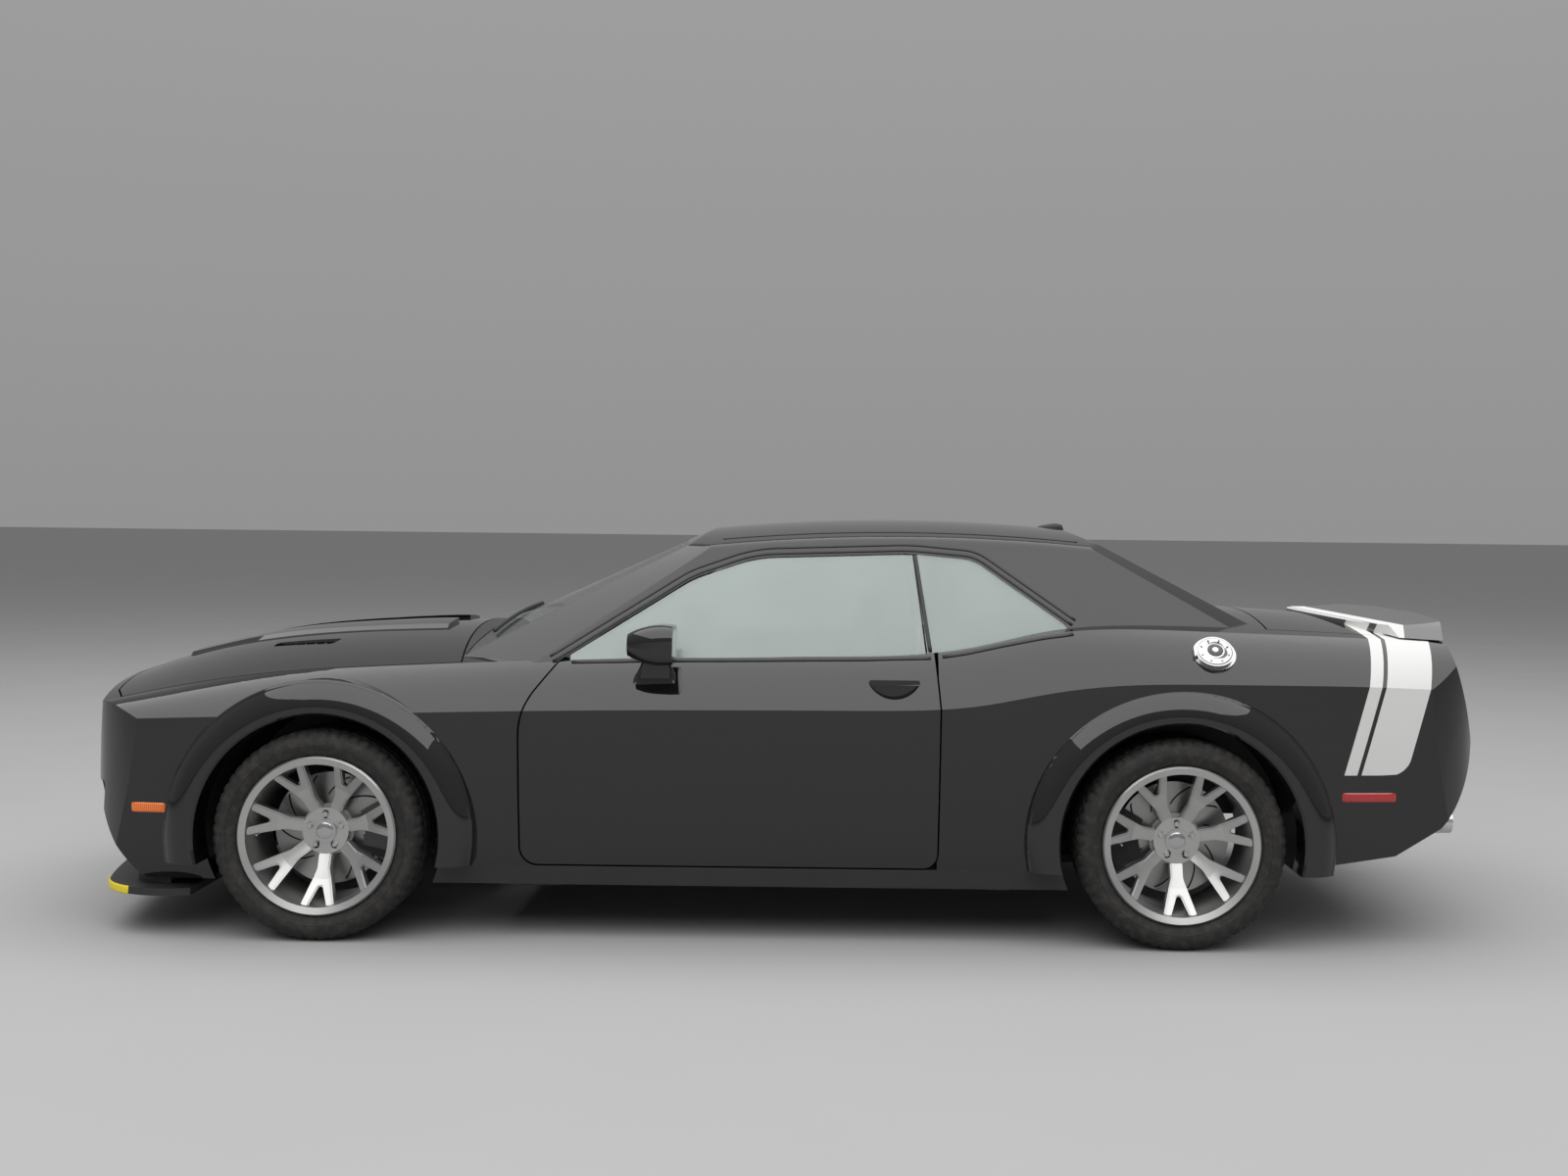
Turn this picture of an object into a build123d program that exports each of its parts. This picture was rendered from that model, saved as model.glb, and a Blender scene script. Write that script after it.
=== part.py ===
# Two-door muscle coupe, millimetres. X forward, Y left, Z up, origin on the ground under mid length.
from build123d import *
import math
import os

os.makedirs("parts", exist_ok=True)

# Overall sizes
LENGTH = 5017.0
WHEELBASE = 2951.0
FRONT_OVERHANG = 930.0
HEIGHT = 1461.0
FLARE_HALF = 994.5
NOSE_X = LENGTH / 2
FRONT_X = NOSE_X - FRONT_OVERHANG
REAR_X = FRONT_X - WHEELBASE

# Panels, gaps and glass
SKIN = 40.0
GAP = 6.0
SEAT_GAP = 0.3
ROOF_WALL = 45.0
GLASS_DEPTH = 3.0
GLASS_THICK = 6.0
DOOR_STEP = 38.0
RECESS = 18.0
BULGE_RISE = 16.0
BULGE_SLOPE = 55.0
CABIN_HALF = 755.0
SILL_Z = 190.0
DOOR_LOW_Z = 262.0
FLOOR_Z = 205.0
FLOOR_THICK = 30.0
SILL_INNER = 790.0
FIREWALL_X = 965.0
FIREWALL_THICK = 30.0
BULKHEAD_X = -1180.0
TRUNK_FLOOR_Z = 490.0
TRUNK_HALF = 630.0

# Wheels and brakes
TYRE_R = 360.0
TYRE_WIDTH = 305.0
WHEEL_Y = 833.0
RIM_R = 272.0
BARREL_R = 240.0
RIM_HALF = 145.0
SPINDLE_R = 34.7
SPOKES = 7
SPOKE_BEVEL = 5.0
DISC_R = 195.0
ARCH_R = 415.0
LINER_WALL = 10.0
FLARE_R = 532.0
STEER_Y = 815.0
STEER_INNER = 470.0

# Hinge lines
DOOR_HINGE = (797.0, 946.0)
FUEL_CENTRE = (-1491.0, 887.0, 1008.2)
FUEL_R = 66.0

# Body cross-sections: station, sill half width, crease, shoulder, top of the crown
STATION_COLUMNS = ("x", "y_sill", "y_crease", "z_crease", "y_shoulder", "z_shoulder", "z_top")
STATIONS = [
    (2540, 800, 855, 730, 745, 762, 833),
    (2200, 845, 912, 748, 772, 830, 942),
    (1867, 870, 938, 761, 790, 888, 1008),
    (1450, 885, 951, 776, 803, 925, 1041),
    (1050, 890, 957, 789, 815, 946, 1052),
    (700, 893, 959, 797, 826, 964, 1016),
    (400, 895, 960, 802, 833, 972, 1000),
    (-60, 895, 960, 806, 833, 980, 1003),
    (-520, 895, 960, 811, 833, 991, 1012),
    (-760, 894, 961, 841, 824, 1036, 1062),
    (-1030, 892, 961, 891, 808, 1080, 1124),
    (-1250, 890, 960, 907, 798, 1087, 1138),
    (-1500, 885, 957, 910, 790, 1080, 1138),
    (-2050, 855, 925, 905, 765, 1062, 1112),
    (-2540, 800, 868, 880, 735, 1040, 1080),
]
SECTIONS = 20
NOSE_AXIS_X = NOSE_X - 3046.0
TAIL_AXIS_X = 3750.0 - NOSE_X
LOWER_BULGE = 14.0
UPPER_BULGE = 18.0

# Cabin outlines by height: windshield centre, its edge, A pillar, mid side, C pillar, rear glass edge, centre
RING_COLUMNS = ("z", "x_front", "x_a", "y_a", "x_p", "y_p", "y_mid", "x_c", "y_c", "x_d", "y_d", "x_rear")
RINGS = [
    (890, 1457, 1262, 771, 946, 857, 871, -1935, 749, -2063, 658, -2102),
    (1175, 834, 720, 648, 536, 718, 732, -1437, 660, -1527, 573, -1552),
    (1400, 343, 280, 540, 205, 592, 604, -1040, 575, -1100, 500, -1110),
    (1500, 125, 85, 492, 60, 540, 548, -863, 537, -911, 469, -915),
]
RING_MID_X = -300.0
ROOF_R = 7000.0
ROOF_APEX_X = -430.0
ROOF_DROP = 140.0
ROOF_EDGE = 900.0
ROOF_FILLET = 50.0


def flip(p):
    return (-p[0], p[1])


def under(p):
    return (p[0], -p[1])


def bulged(p, q, bulge):
    dx = q[0] - p[0]
    dz = q[1] - p[1]
    run = math.hypot(dx, dz)
    return ThreePointArc(p, ((p[0] + q[0]) / 2 + bulge * dz / run, (p[1] + q[1]) / 2 - bulge * dx / run), q)


def box(x0, x1, y0, y1, z0, z1):
    return Pos((x0 + x1) / 2, (y0 + y1) / 2, (z0 + z1) / 2) * Box(x1 - x0, y1 - y0, z1 - z0)


def across(face, y0, y1):
    plane = Plane(origin=(0, y1, 0), x_dir=(1, 0, 0), z_dir=(0, -1, 0))
    return extrude(plane * face, y1 - y0)


def upward(face, z0, z1):
    return extrude(Pos(0, 0, z0) * face, z1 - z0)


def forward(face, x0, x1):
    plane = Plane(origin=(x0, 0, 0), x_dir=(0, 1, 0), z_dir=(1, 0, 0))
    return extrude(plane * face, x1 - x0)


def rod_y(x, z, radius, y0, y1):
    return across(Pos(x, z) * Circle(radius), y0, y1)


def rod_x(y, z, radius, x0, x1):
    return forward(Pos(y, z) * Circle(radius), x0, x1)


def rod_z(x, y, radius, z0, z1):
    return upward(Pos(x, y) * Circle(radius), z0, z1)


def poly(points, radius=0.0):
    if radius > 0:
        return make_face(FilletPolyline(*points, radius=radius, close=True))
    return make_face(Polyline(*points, close=True))


def rounded(corners):
    stops = []
    for k in range(len(corners)):
        px, pz, radius = corners[k]
        before = corners[k - 1]
        after = corners[(k + 1) % len(corners)]
        run_a = math.dist(before[:2], (px, pz))
        run_b = math.dist(after[:2], (px, pz))
        ua = ((before[0] - px) / run_a, (before[1] - pz) / run_a)
        ub = ((after[0] - px) / run_b, (after[1] - pz) / run_b)
        half = math.acos(ua[0] * ub[0] + ua[1] * ub[1]) / 2
        reach = radius / math.tan(half)
        depth = radius / math.sin(half) - radius
        way = math.hypot(ua[0] + ub[0], ua[1] + ub[1])
        start = (px + ua[0] * reach, pz + ua[1] * reach)
        middle = (px + (ua[0] + ub[0]) / way * depth, pz + (ua[1] + ub[1]) / way * depth)
        stops.append((start, middle, (px + ub[0] * reach, pz + ub[1] * reach), radius))
    edges = []
    for k in range(len(corners)):
        start, middle, stop, radius = stops[k]
        if math.dist(stops[k - 1][2], start) > 1e-6:
            edges.append(Line(stops[k - 1][2], start))
        if radius > 0:
            edges.append(ThreePointArc(start, middle, stop))
    return make_face(edges)


def other(part):
    return mirror(part, about=Plane.XZ)


def pair(part):
    return Compound(children=list(part.solids()) + list(other(part).solids()))


def save(name, part):
    solids = part.solids()
    export_step(Compound(children=list(solids)) if len(solids) > 1 else solids[0], "parts/" + name + ".step")


def column_slopes(xs, values):
    steps = [(values[k + 1] - values[k]) / (xs[k + 1] - xs[k]) for k in range(len(xs) - 1)]
    slopes = [steps[0]]
    for k in range(1, len(steps)):
        wide = xs[k + 1] - xs[k - 1]
        lead = wide + xs[k + 1] - xs[k]
        trail = wide + xs[k] - xs[k - 1]
        level = steps[k - 1] * steps[k] <= 0
        slopes.append(0.0 if level else (lead + trail) / (lead / steps[k - 1] + trail / steps[k]))
    return slopes + [steps[-1]]


def row_at(x):
    rows = sorted(STATIONS)
    xs = [row[0] for row in rows]
    k = max(i for i in range(len(xs) - 1) if xs[i] <= x)
    span = xs[k + 1] - xs[k]
    t = (x - xs[k]) / span
    row = [x]
    for column in range(1, len(STATION_COLUMNS)):
        values = [r[column] for r in rows]
        slopes = column_slopes(xs, values)
        start = (1 + 2 * t) * (1 - t) ** 2 * values[k] + t * (1 - t) ** 2 * span * slopes[k]
        stop = t * t * (3 - 2 * t) * values[k + 1] + t * t * (t - 1) * span * slopes[k + 1]
        row.append(start + stop)
    return row


def body_section(row, inset):
    x, y_sill, y_crease, z_crease, y_shoulder, z_shoulder, z_top = row
    low = (y_sill - inset, SILL_Z - 3 * inset)
    crease = (y_crease - inset, z_crease)
    shoulder = (y_shoulder - inset, z_shoulder - inset)
    edges = [
        Line(flip(low), low),
        bulged(low, crease, LOWER_BULGE),
        bulged(crease, shoulder, UPPER_BULGE),
        ThreePointArc(shoulder, (0, z_top - inset), flip(shoulder)),
        bulged(flip(shoulder), flip(crease), UPPER_BULGE),
        bulged(flip(crease), flip(low), LOWER_BULGE),
    ]
    plane = Plane(origin=(x, 0, 0), x_dir=(0, 1, 0), z_dir=(1, 0, 0))
    return plane * make_face(edges)


def corner_outline(inset):
    wide = FLARE_HALF + 20
    front = [(NOSE_X - 38 - inset, 560), (NOSE_X - 123 - inset, 775 - inset), (2180, 925 - inset)]
    rear = [(-NOSE_X + 28 + inset, 560), (-NOSE_X + 103 + inset, 775 - inset), (-2180, 925 - inset)]
    half = [
        Line((NOSE_X + 60, 0), (NOSE_X + 60, 560)),
        Line((NOSE_X + 60, 560), front[0]),
        ThreePointArc(*front),
        Polyline(front[2], (1700, wide), (-1700, wide), rear[2]),
        ThreePointArc(*reversed(rear)),
        Polyline(rear[0], (-NOSE_X - 60, 560), (-NOSE_X - 60, 0), (NOSE_X + 60, 0)),
    ]
    face = make_face(half)
    return face + mirror(face, about=Plane.XZ)


def nose_face(inset, axis_x):
    low = SILL_Z - 3 * inset
    tip = NOSE_X - inset
    return make_face([
        Polyline((axis_x, low), (axis_x, 1300), (tip - 40, 1300), (tip - 40, 868), (tip - 16, 842)),
        ThreePointArc((tip - 16, 842), (tip - 5, 700), (tip, 570)),
        ThreePointArc((tip, 570), (tip - 39, 370), (tip - 143, 215)),
        Polyline((tip - 143, 215), (tip - 178, low), (axis_x, low)),
    ])


def tail_face(inset, axis_x):
    low = SILL_Z - 3 * inset
    tip = -NOSE_X + inset
    return make_face([
        Polyline((axis_x, low), (axis_x, 1300), (tip + 123, 1300), (tip + 123, 1092), (tip + 88, 1030)),
        ThreePointArc((tip + 88, 1030), (tip + 38, 880), (tip, 697)),
        ThreePointArc((tip, 697), (tip + 33, 547), (tip + 114, 412)),
        Polyline((tip + 114, 412), (tip + 268, low + 125), (-1815, low + 60), (-1700, low), (axis_x, low)),
    ])


def body_solid(inset):
    first, last = STATIONS[-1][0], STATIONS[0][0]
    stops = [first + (last - first) * k / (SECTIONS - 1) for k in range(SECTIONS)]
    skin = loft([body_section(row_at(x), inset) for x in stops])
    solid = skin & upward(corner_outline(inset), 0, 1400)
    plane = Plane(origin=(0, 0, 0), x_dir=(1, 0, 0), z_dir=(0, -1, 0))
    for axis_x, face in ((NOSE_AXIS_X, nose_face), (TAIL_AXIS_X, tail_face)):
        solid = solid & revolve(plane * face(inset, axis_x), Axis((axis_x, 0, 0), (0, 0, 1)), 360)
    return solid


def cabin_ring(row, inset):
    z, x_front, x_a, y_a, x_p, y_p, y_mid, x_c, y_c, x_d, y_d, x_rear = row
    i = inset
    a = (x_a - i, y_a - 0.6 * i)
    p = (x_p - 0.5 * i, y_p - i)
    mid = (RING_MID_X, y_mid - i)
    c = (x_c + 0.5 * i, y_c - i)
    d = (x_d + i, y_d - 0.6 * i)
    edges = [
        ThreePointArc(under(a), (x_front - i, 0), a),
        Line(a, p),
        ThreePointArc(p, mid, c),
        Line(c, d),
        ThreePointArc(d, (x_rear + i, 0), under(d)),
        Line(under(d), under(c)),
        ThreePointArc(under(c), under(mid), under(p)),
        Line(under(p), under(a)),
    ]
    return Pos(0, 0, z) * make_face(edges)


def cabin_solid(inset, rounded=False):
    sides = loft([cabin_ring(row, inset) for row in RINGS])
    top = HEIGHT - inset
    edge = (ROOF_EDGE, top - ROOF_DROP)
    crown = make_face([
        ThreePointArc(flip(edge), (0, top), edge),
        Polyline(edge, (ROOF_EDGE, 700), (-ROOF_EDGE, 700), flip(edge)),
    ])
    plane = Plane(origin=(ROOF_APEX_X, 0, 0), x_dir=(0, 1, 0), z_dir=(1, 0, 0))
    ends = [revolve(plane * crown, Axis((ROOF_APEX_X, 0, top - ROOF_R), (0, way, 0)), 20) for way in (1, -1)]
    solid = sides & (ends[0] + ends[1])
    if rounded:
        solid = fillet(solid.edges().filter_by(lambda e: e.center().Z > 1330), ROOF_FILLET)
    return solid


def bulge_section(x, half):
    x, y_sill, y_crease, z_crease, y_shoulder, z_shoulder, z_top = row_at(x)
    fall = (z_top - z_shoulder) / y_shoulder ** 2
    low = (half, z_top - fall * half ** 2 - BULGE_RISE)
    high = (half - BULGE_SLOPE, z_top - fall * (half - BULGE_SLOPE) ** 2 + BULGE_RISE - 3)
    edges = [
        ThreePointArc(flip(low), (0, z_top - BULGE_RISE), low),
        Line(low, high),
        ThreePointArc(high, (0, z_top + BULGE_RISE), flip(high)),
        Line(flip(high), flip(low)),
    ]
    plane = Plane(origin=(x, 0, 0), x_dir=(0, 1, 0), z_dir=(1, 0, 0))
    return plane * make_face(edges)


# Master volumes
body = body_solid(0)
body_inner = body_solid(SKIN)
body_recess = body_solid(RECESS)
body_clear = body_solid(-GAP)
shell = body - body_inner
cabin = cabin_solid(0, rounded=True)
cabin_void = upward(poly([
    (FIREWALL_X, CABIN_HALF), (-552, CABIN_HALF), (BULKHEAD_X, 672),
    (BULKHEAD_X, -672), (-552, -CABIN_HALF), (FIREWALL_X, -CABIN_HALF),
]), 100, 1500)

# Wheel arches
arches = Part()
for axle in (FRONT_X, REAR_X):
    for y0, y1 in ((STEER_INNER, 1100), (-1100, -STEER_INNER)):
        arches = arches + rod_y(axle, TYRE_R, ARCH_R, y0, y1)

# Panel outlines, side view and plan view
DOOR_POINTS = [
    (893, DOOR_LOW_Z, 60), (897, 794, 260), (752, 988, 0), (735, 1060, 0),
    (-520, 1060, 0), (-544, 811, 0), (-540, DOOR_LOW_Z, 50),
]
door_face = rounded(DOOR_POINTS)
HOOD_SIDE = [(1130, 800), (1700, 783), (2335, 748)]
HOOD_FRONT = (2388, 640)
HOOD_NOSE_X = 2455.0
HOOD_REAR_X = 1185.0
hood_face = make_face([
    ThreePointArc(under(HOOD_SIDE[0]), (HOOD_REAR_X, 0), HOOD_SIDE[0]),
    ThreePointArc(*HOOD_SIDE),
    Line(HOOD_SIDE[2], HOOD_FRONT),
    ThreePointArc(HOOD_FRONT, (HOOD_NOSE_X, 0), under(HOOD_FRONT)),
    Line(under(HOOD_FRONT), under(HOOD_SIDE[2])),
    ThreePointArc(*[under(p) for p in reversed(HOOD_SIDE)]),
])
TRUNK_FRONT = (-1720, 690)
TRUNK_REAR = (-2600, 668)
TRUNK_FRONT_X = -1745.0
TRUNK_LOW_Z = 985.0
trunk_face = make_face([
    ThreePointArc(under(TRUNK_FRONT), (TRUNK_FRONT_X, 0), TRUNK_FRONT),
    Polyline(TRUNK_FRONT, TRUNK_REAR, under(TRUNK_REAR), under(TRUNK_FRONT)),
])
FRONT_SEAM = [
    (2600, 60), (2600, 1000), (2345, 1000), (2345, 790), (2235, 650), (2160, 560), (1960, 548), (1900, 60),
]
REAR_SEAM = [(-2600, 60), (-2600, 750), (-2340, 750), (-2295, 612), (-1870, 590), (-1760, 575), (-1700, 60)]
front_zone = across(poly(FRONT_SEAM), -1100, 1100)
rear_zone = across(poly(REAR_SEAM), -1100, 1100)
door_cut = across(offset(door_face, GAP), -1100, 1100)
hood_cut = upward(offset(hood_face, GAP), 700, 1300)
trunk_cut = upward(offset(trunk_face, GAP), TRUNK_LOW_Z - GAP, 1300)

# Lids and doors
BULGE = [(1290, 330), (1492, 316), (1694, 298), (1896, 277), (2098, 252), (2300, 225)]
VALLEY = [(1270, 105), (2330, 62), (2330, -62), (1270, -105)]
NOSTRIL = (84.0, 168.0, -9.0, 9.0)
NOSTRIL_DEPTH = 70.0
VENT_POINTS = [(1650, 420, 18), (1900, 385, 18), (1905, 445, 18), (1670, 500, 18)]
bulge = loft([bulge_section(x, half) for x, half in BULGE]) - upward(poly(VALLEY), 700, 1300)
hood_vents = upward(rounded(VENT_POINTS), 700, 1300) - body_recess
nostril_z = row_at(BULGE[-1][0])[6]
nostril = forward(rounded([
    (NOSTRIL[0], nostril_z + NOSTRIL[2], 7), (NOSTRIL[0], nostril_z + NOSTRIL[3], 7),
    (NOSTRIL[1], nostril_z + NOSTRIL[3] - 3, 7), (NOSTRIL[1], nostril_z + NOSTRIL[2] - 3, 7),
]), BULGE[-1][0] - NOSTRIL_DEPTH, BULGE[-1][0] + 10)
hood = (shell + bulge) & upward(hood_face, 700, 1300)
for part in (hood_vents, nostril):
    hood = hood - part - other(part)
trunk_lid = shell & upward(trunk_face, TRUNK_LOW_Z, 1300)
door_skin = shell & across(door_face, 0, 1100)
door_core = (body & across(offset(door_face, -DOOR_STEP), 0, 1100)) - cabin_void
left_door = door_skin + door_core
left_door = left_door - box(-1000, 1000, 0, CABIN_HALF, 0, 1500)
HANDLE_X = -387.0
HANDLE_Z = 892.0
CUP_R = 102.0
cup_face = (Pos(HANDLE_X, HANDLE_Z + 55) * Circle(CUP_R)) & (Pos(HANDLE_X, HANDLE_Z - 60) * Rectangle(300, 120))
cup = across(cup_face, 888, 1100)
handle = across(rounded([
    (HANDLE_X - 88, HANDLE_Z, 8), (HANDLE_X - 88, HANDLE_Z + 17, 8),
    (HANDLE_X + 88, HANDLE_Z + 17, 8), (HANDLE_X + 88, HANDLE_Z, 8),
]), 870, 922)
left_door = left_door - cup + handle

# Weather strips that the lids rest on
STRIP = 14.0
strip_layer = body_solid(SKIN + SEAT_GAP) - body_solid(SKIN + STRIP)
hood_strip = upward(offset(hood_face, GAP + 18) - offset(hood_face, -22), 700, 1300)
trunk_strip = upward(offset(trunk_face, GAP + 18) - offset(trunk_face, -22), TRUNK_LOW_Z, 1300)
HOOD_AXIS_X = 1200.0
TRUNK_AXIS_X = -1770.0
lid_strips = (strip_layer & hood_strip & box(HOOD_AXIS_X + 110, 2330, -900, 900, 700, 1300))
lid_strips = lid_strips + (strip_layer & trunk_strip & box(-2330, TRUNK_AXIS_X - 90, -900, 900, 900, 1300))

# Fixed panels
SILL_ENDS = (1200.0, -1000.0)
sill_zone = box(SILL_ENDS[1], SILL_ENDS[0], -1100, 1100, 100, DOOR_LOW_Z - GAP)
sills = (body & sill_zone) - box(-2000, 2000, -SILL_INNER, SILL_INNER, 0, 500) - arches
JACK_X = (800.0, -750.0)
JACK_Y = 850.0
JACK_DROP = 6.0
for x in JACK_X:
    for y in (-JACK_Y, JACK_Y):
        sills = sills + box(x - 45, x + 45, y - 25, y + 25, SILL_Z - JACK_DROP, SILL_Z + 20)
rest = shell - arches - sill_zone - hood_cut - trunk_cut - door_cut - cabin_void
front_bumper = rest & front_zone
rear_bumper = rest & rear_zone
rest = rest - front_zone - rear_zone
cowl_zone = box(FIREWALL_X - 5, 1190, -740, 740, 700, 1300)
cowl = (rest & cowl_zone) - cabin
front_rest = rest & box(735, 2600, 0, 1100, 0, 1300)
left_fender = front_rest - cowl_zone
DECK_HALF = 690.0
deck_zone = box(-1760, BULKHEAD_X, -DECK_HALF, DECK_HALF, 900, 1300)
rear_deck = rest & deck_zone
tail_zone = box(-2600, -2345, -720, 720, 700, 1300)
tail_panel = rest & tail_zone
left_quarter = (rest & box(-2600, -540, 0, 1100, 0, 1300)) - deck_zone - tail_zone


# Roof, pillars and glass
DLO_POINTS = [
    (873, 900, 0), (330, 1245, 330), (110, 1322, 500), (-446, 1342, 900),
    (-672, 1322, 150), (-1003, 1092, 40), (-1003, 900, 0),
]
GLASS_SPLIT = [(-452, 1345), (-505, 940)]
GLASS_FRONT_X = 742.0
dlo_face = rounded(DLO_POINTS)
side_windows = across(dlo_face, -1100, 1100)
windshield_zone = forward(make_face([
    Polyline((552, 1362), (740, 930), (-740, 930), (-552, 1362)),
    ThreePointArc((-552, 1362), (0, 1378), (552, 1362)),
]), 150, 1500)
rear_window_zone = forward(make_face([
    Polyline((492, 1384), (626, 950), (-626, 950), (-492, 1384)),
    ThreePointArc((-492, 1384), (0, 1397), (492, 1384)),
]), -2200, -1000)
roof_inner = cabin_solid(ROOF_WALL)
roof = cabin - roof_inner - side_windows - windshield_zone - rear_window_zone - body
glass_layer = cabin_solid(GLASS_DEPTH) - cabin_solid(GLASS_DEPTH + GLASS_THICK)
windshield = (glass_layer & windshield_zone) - body
rear_window = (glass_layer & rear_window_zone) - body
split_x0 = GLASS_SPLIT[0]
split_x1 = GLASS_SPLIT[1]
ahead = poly([split_x0, (1200, 1345), (1200, 900), split_x1])
behind = poly([(-1200, 1345), (split_x0[0] - GAP, 1345), (split_x1[0] - GAP, 940), (-1200, 900)])
door_glass_zone = across(offset(dlo_face, -GAP), 0, 1100) & across(ahead, 0, 1100)
door_glass_zone = door_glass_zone & box(-2000, GLASS_FRONT_X, 0, 1100, 958, 1500)
left_door_glass = (glass_layer & door_glass_zone) - left_door
quarter_zone = across(dlo_face, 0, 1100) & across(behind, 0, 1100)
left_quarter_window = (glass_layer & quarter_zone) - body
POST_X = (-640.0, -558.0)
post_box = box(POST_X[0], POST_X[1], 690, 1000, FLOOR_Z + FLOOR_THICK, 1345)
post_strip = (roof_inner - cabin_solid(2 * ROOF_WALL)) & box(POST_X[0], POST_X[1], 300, 1000, 940, 1345)
left_post = ((post_strip + (body_inner & post_box)) - shell) - sills

# Nose fittings: grille slots, four round lamps, side ducts and chin
GRILLE_X = 2380.0
LAMP_R = 56.0
LAMP_Z = 706.0
LAMP_AT = ((450.0, 2440.0), (590.0, 2418.0))
GRILLE_BARS = 4
grille_slot = forward(rounded([(-655, 642, 55), (-655, 768, 55), (655, 768, 55), (655, 642, 55)]), 2300, 2600)
lower_slot = forward(rounded([(-560, 300, 35), (-605, 470, 35), (605, 470, 35), (560, 300, 35)]), 2200, 2600)
DUCT_POINTS = [(668, 330, 20), (690, 500, 20), (790, 520, 20), (770, 350, 20)]
duct = forward(rounded(DUCT_POINTS), 2000, 2600) - body_recess
front_bumper = front_bumper - grille_slot - lower_slot - duct - other(duct)
grille = box(GRILLE_X, GRILLE_X + 14, -720, 720, 600, 772)
grille = grille + box(GRILLE_X - 60, GRILLE_X - 46, -640, 640, 270, 520)
grille = grille + box(GRILLE_X - 60, GRILLE_X + 14, -600, 600, 500, 640)
for k in range(GRILLE_BARS):
    z = 662 + k * 29
    grille = grille + box(GRILLE_X + 10, GRILLE_X + 34, -388, 388, z, z + 7)
    grille = grille + box(GRILLE_X - 50, GRILLE_X - 26, -560, 560, z - 342, z - 335)
lamps = Part()
for y, face_x in LAMP_AT:
    for way in (-1, 1):
        bezel = rod_x(way * y, LAMP_Z, LAMP_R + 7, GRILLE_X + 10, face_x - 14)
        grille = grille + (bezel - rod_x(way * y, LAMP_Z, LAMP_R, GRILLE_X + 14, 2600))
        lens = revolve(make_face([
            ThreePointArc((face_x, LAMP_R), (face_x + 8, LAMP_R * 0.6), (face_x + 11, 10)),
            Polyline((face_x + 11, 10), (GRILLE_X + 14, 10), (GRILLE_X + 14, LAMP_R), (face_x, LAMP_R)),
        ]), Axis.X, 360)
        lens = lens + rod_x(0, 0, 10, GRILLE_X + 14, face_x + 11)
        lamps = lamps + Pos(0, way * y, LAMP_Z) * lens
grille = (grille & body_inner) - upward(hood_face, 700, 1300)
SPLITTER_Z = (140.0, 165.0)
SPLITTER_EDGE = [(2384, 700), (2318, 838), (2030, 903)]
splitter_face = make_face([
    ThreePointArc(under(SPLITTER_EDGE[0]), (2478, 0), SPLITTER_EDGE[0]),
    ThreePointArc(*SPLITTER_EDGE),
    Line(SPLITTER_EDGE[2], under(SPLITTER_EDGE[2])),
    ThreePointArc(*[under(p) for p in reversed(SPLITTER_EDGE)]),
])
splitter = upward(splitter_face, *SPLITTER_Z) + upward(offset(splitter_face, -95), SPLITTER_Z[1], SILL_Z)

# Tail fittings: lamps, diffuser and ducktail spoiler
LAMP_LOW_Z = 792.0
LAMP_HIGH_Z = 905.0
lamp_face = rounded([
    (238, LAMP_LOW_Z, 50), (238, LAMP_HIGH_Z, 50), (700, LAMP_HIGH_Z, 50), (700, LAMP_LOW_Z, 50),
])
lamp_slot = forward(lamp_face, -2600, -2300)
lamp_slot = lamp_slot + other(lamp_slot)
tail_lamps = tail_panel & lamp_slot & body_recess
tail_panel = tail_panel - lamp_slot
diffuser_zone = across(poly([(-2600, 200), (-2600, 430), (-2200, 430), (-2000, 200)]), -520, 520)
diffuser = rear_bumper & diffuser_zone
rear_bumper = rear_bumper - diffuser_zone
for y in (-300, -150, 0, 150, 300):
    fin = across(poly([(-2425, 420), (-2150, 235), (-2150, 300), (-2300, 430)]), y - 6, y + 6)
    diffuser = diffuser + (fin - body_inner)
SPOILER_HALF = 776.0
SPOILER_JOIN = 662.0
spoiler_side = make_face([
    ThreePointArc((-2000, 1119), (-2200, 1107), (-2392, 1130)),
    Polyline((-2392, 1130), (-2398, 1118), (-2372, 1000), (-2000, 1000), (-2000, 1119)),
])
spoiler_plan = make_face([
    ThreePointArc((-2322, -SPOILER_HALF), (-2398, 0), (-2322, SPOILER_HALF)),
    Line((-2322, SPOILER_HALF), (-2190, SPOILER_HALF)),
    ThreePointArc((-2190, SPOILER_HALF), (-2012, 0), (-2190, -SPOILER_HALF)),
    Line((-2190, -SPOILER_HALF), (-2322, -SPOILER_HALF)),
])
spoiler_arch = rounded([
    (-820, 940, 0), (-820, 1000, 40), (-655, 1138, 190), (655, 1138, 190), (820, 1000, 40), (820, 940, 0),
])
spoiler = across(spoiler_side, -900, 900) & upward(spoiler_plan, 900, 1300)
spoiler = spoiler & forward(spoiler_arch, -2500, -1900)
spoiler_ends = box(-2600, -1900, SPOILER_JOIN, 900, 900, 1300)
spoiler_ends = spoiler_ends + other(spoiler_ends)
spoiler = (spoiler - body) - (spoiler_ends & body_clear)

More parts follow.
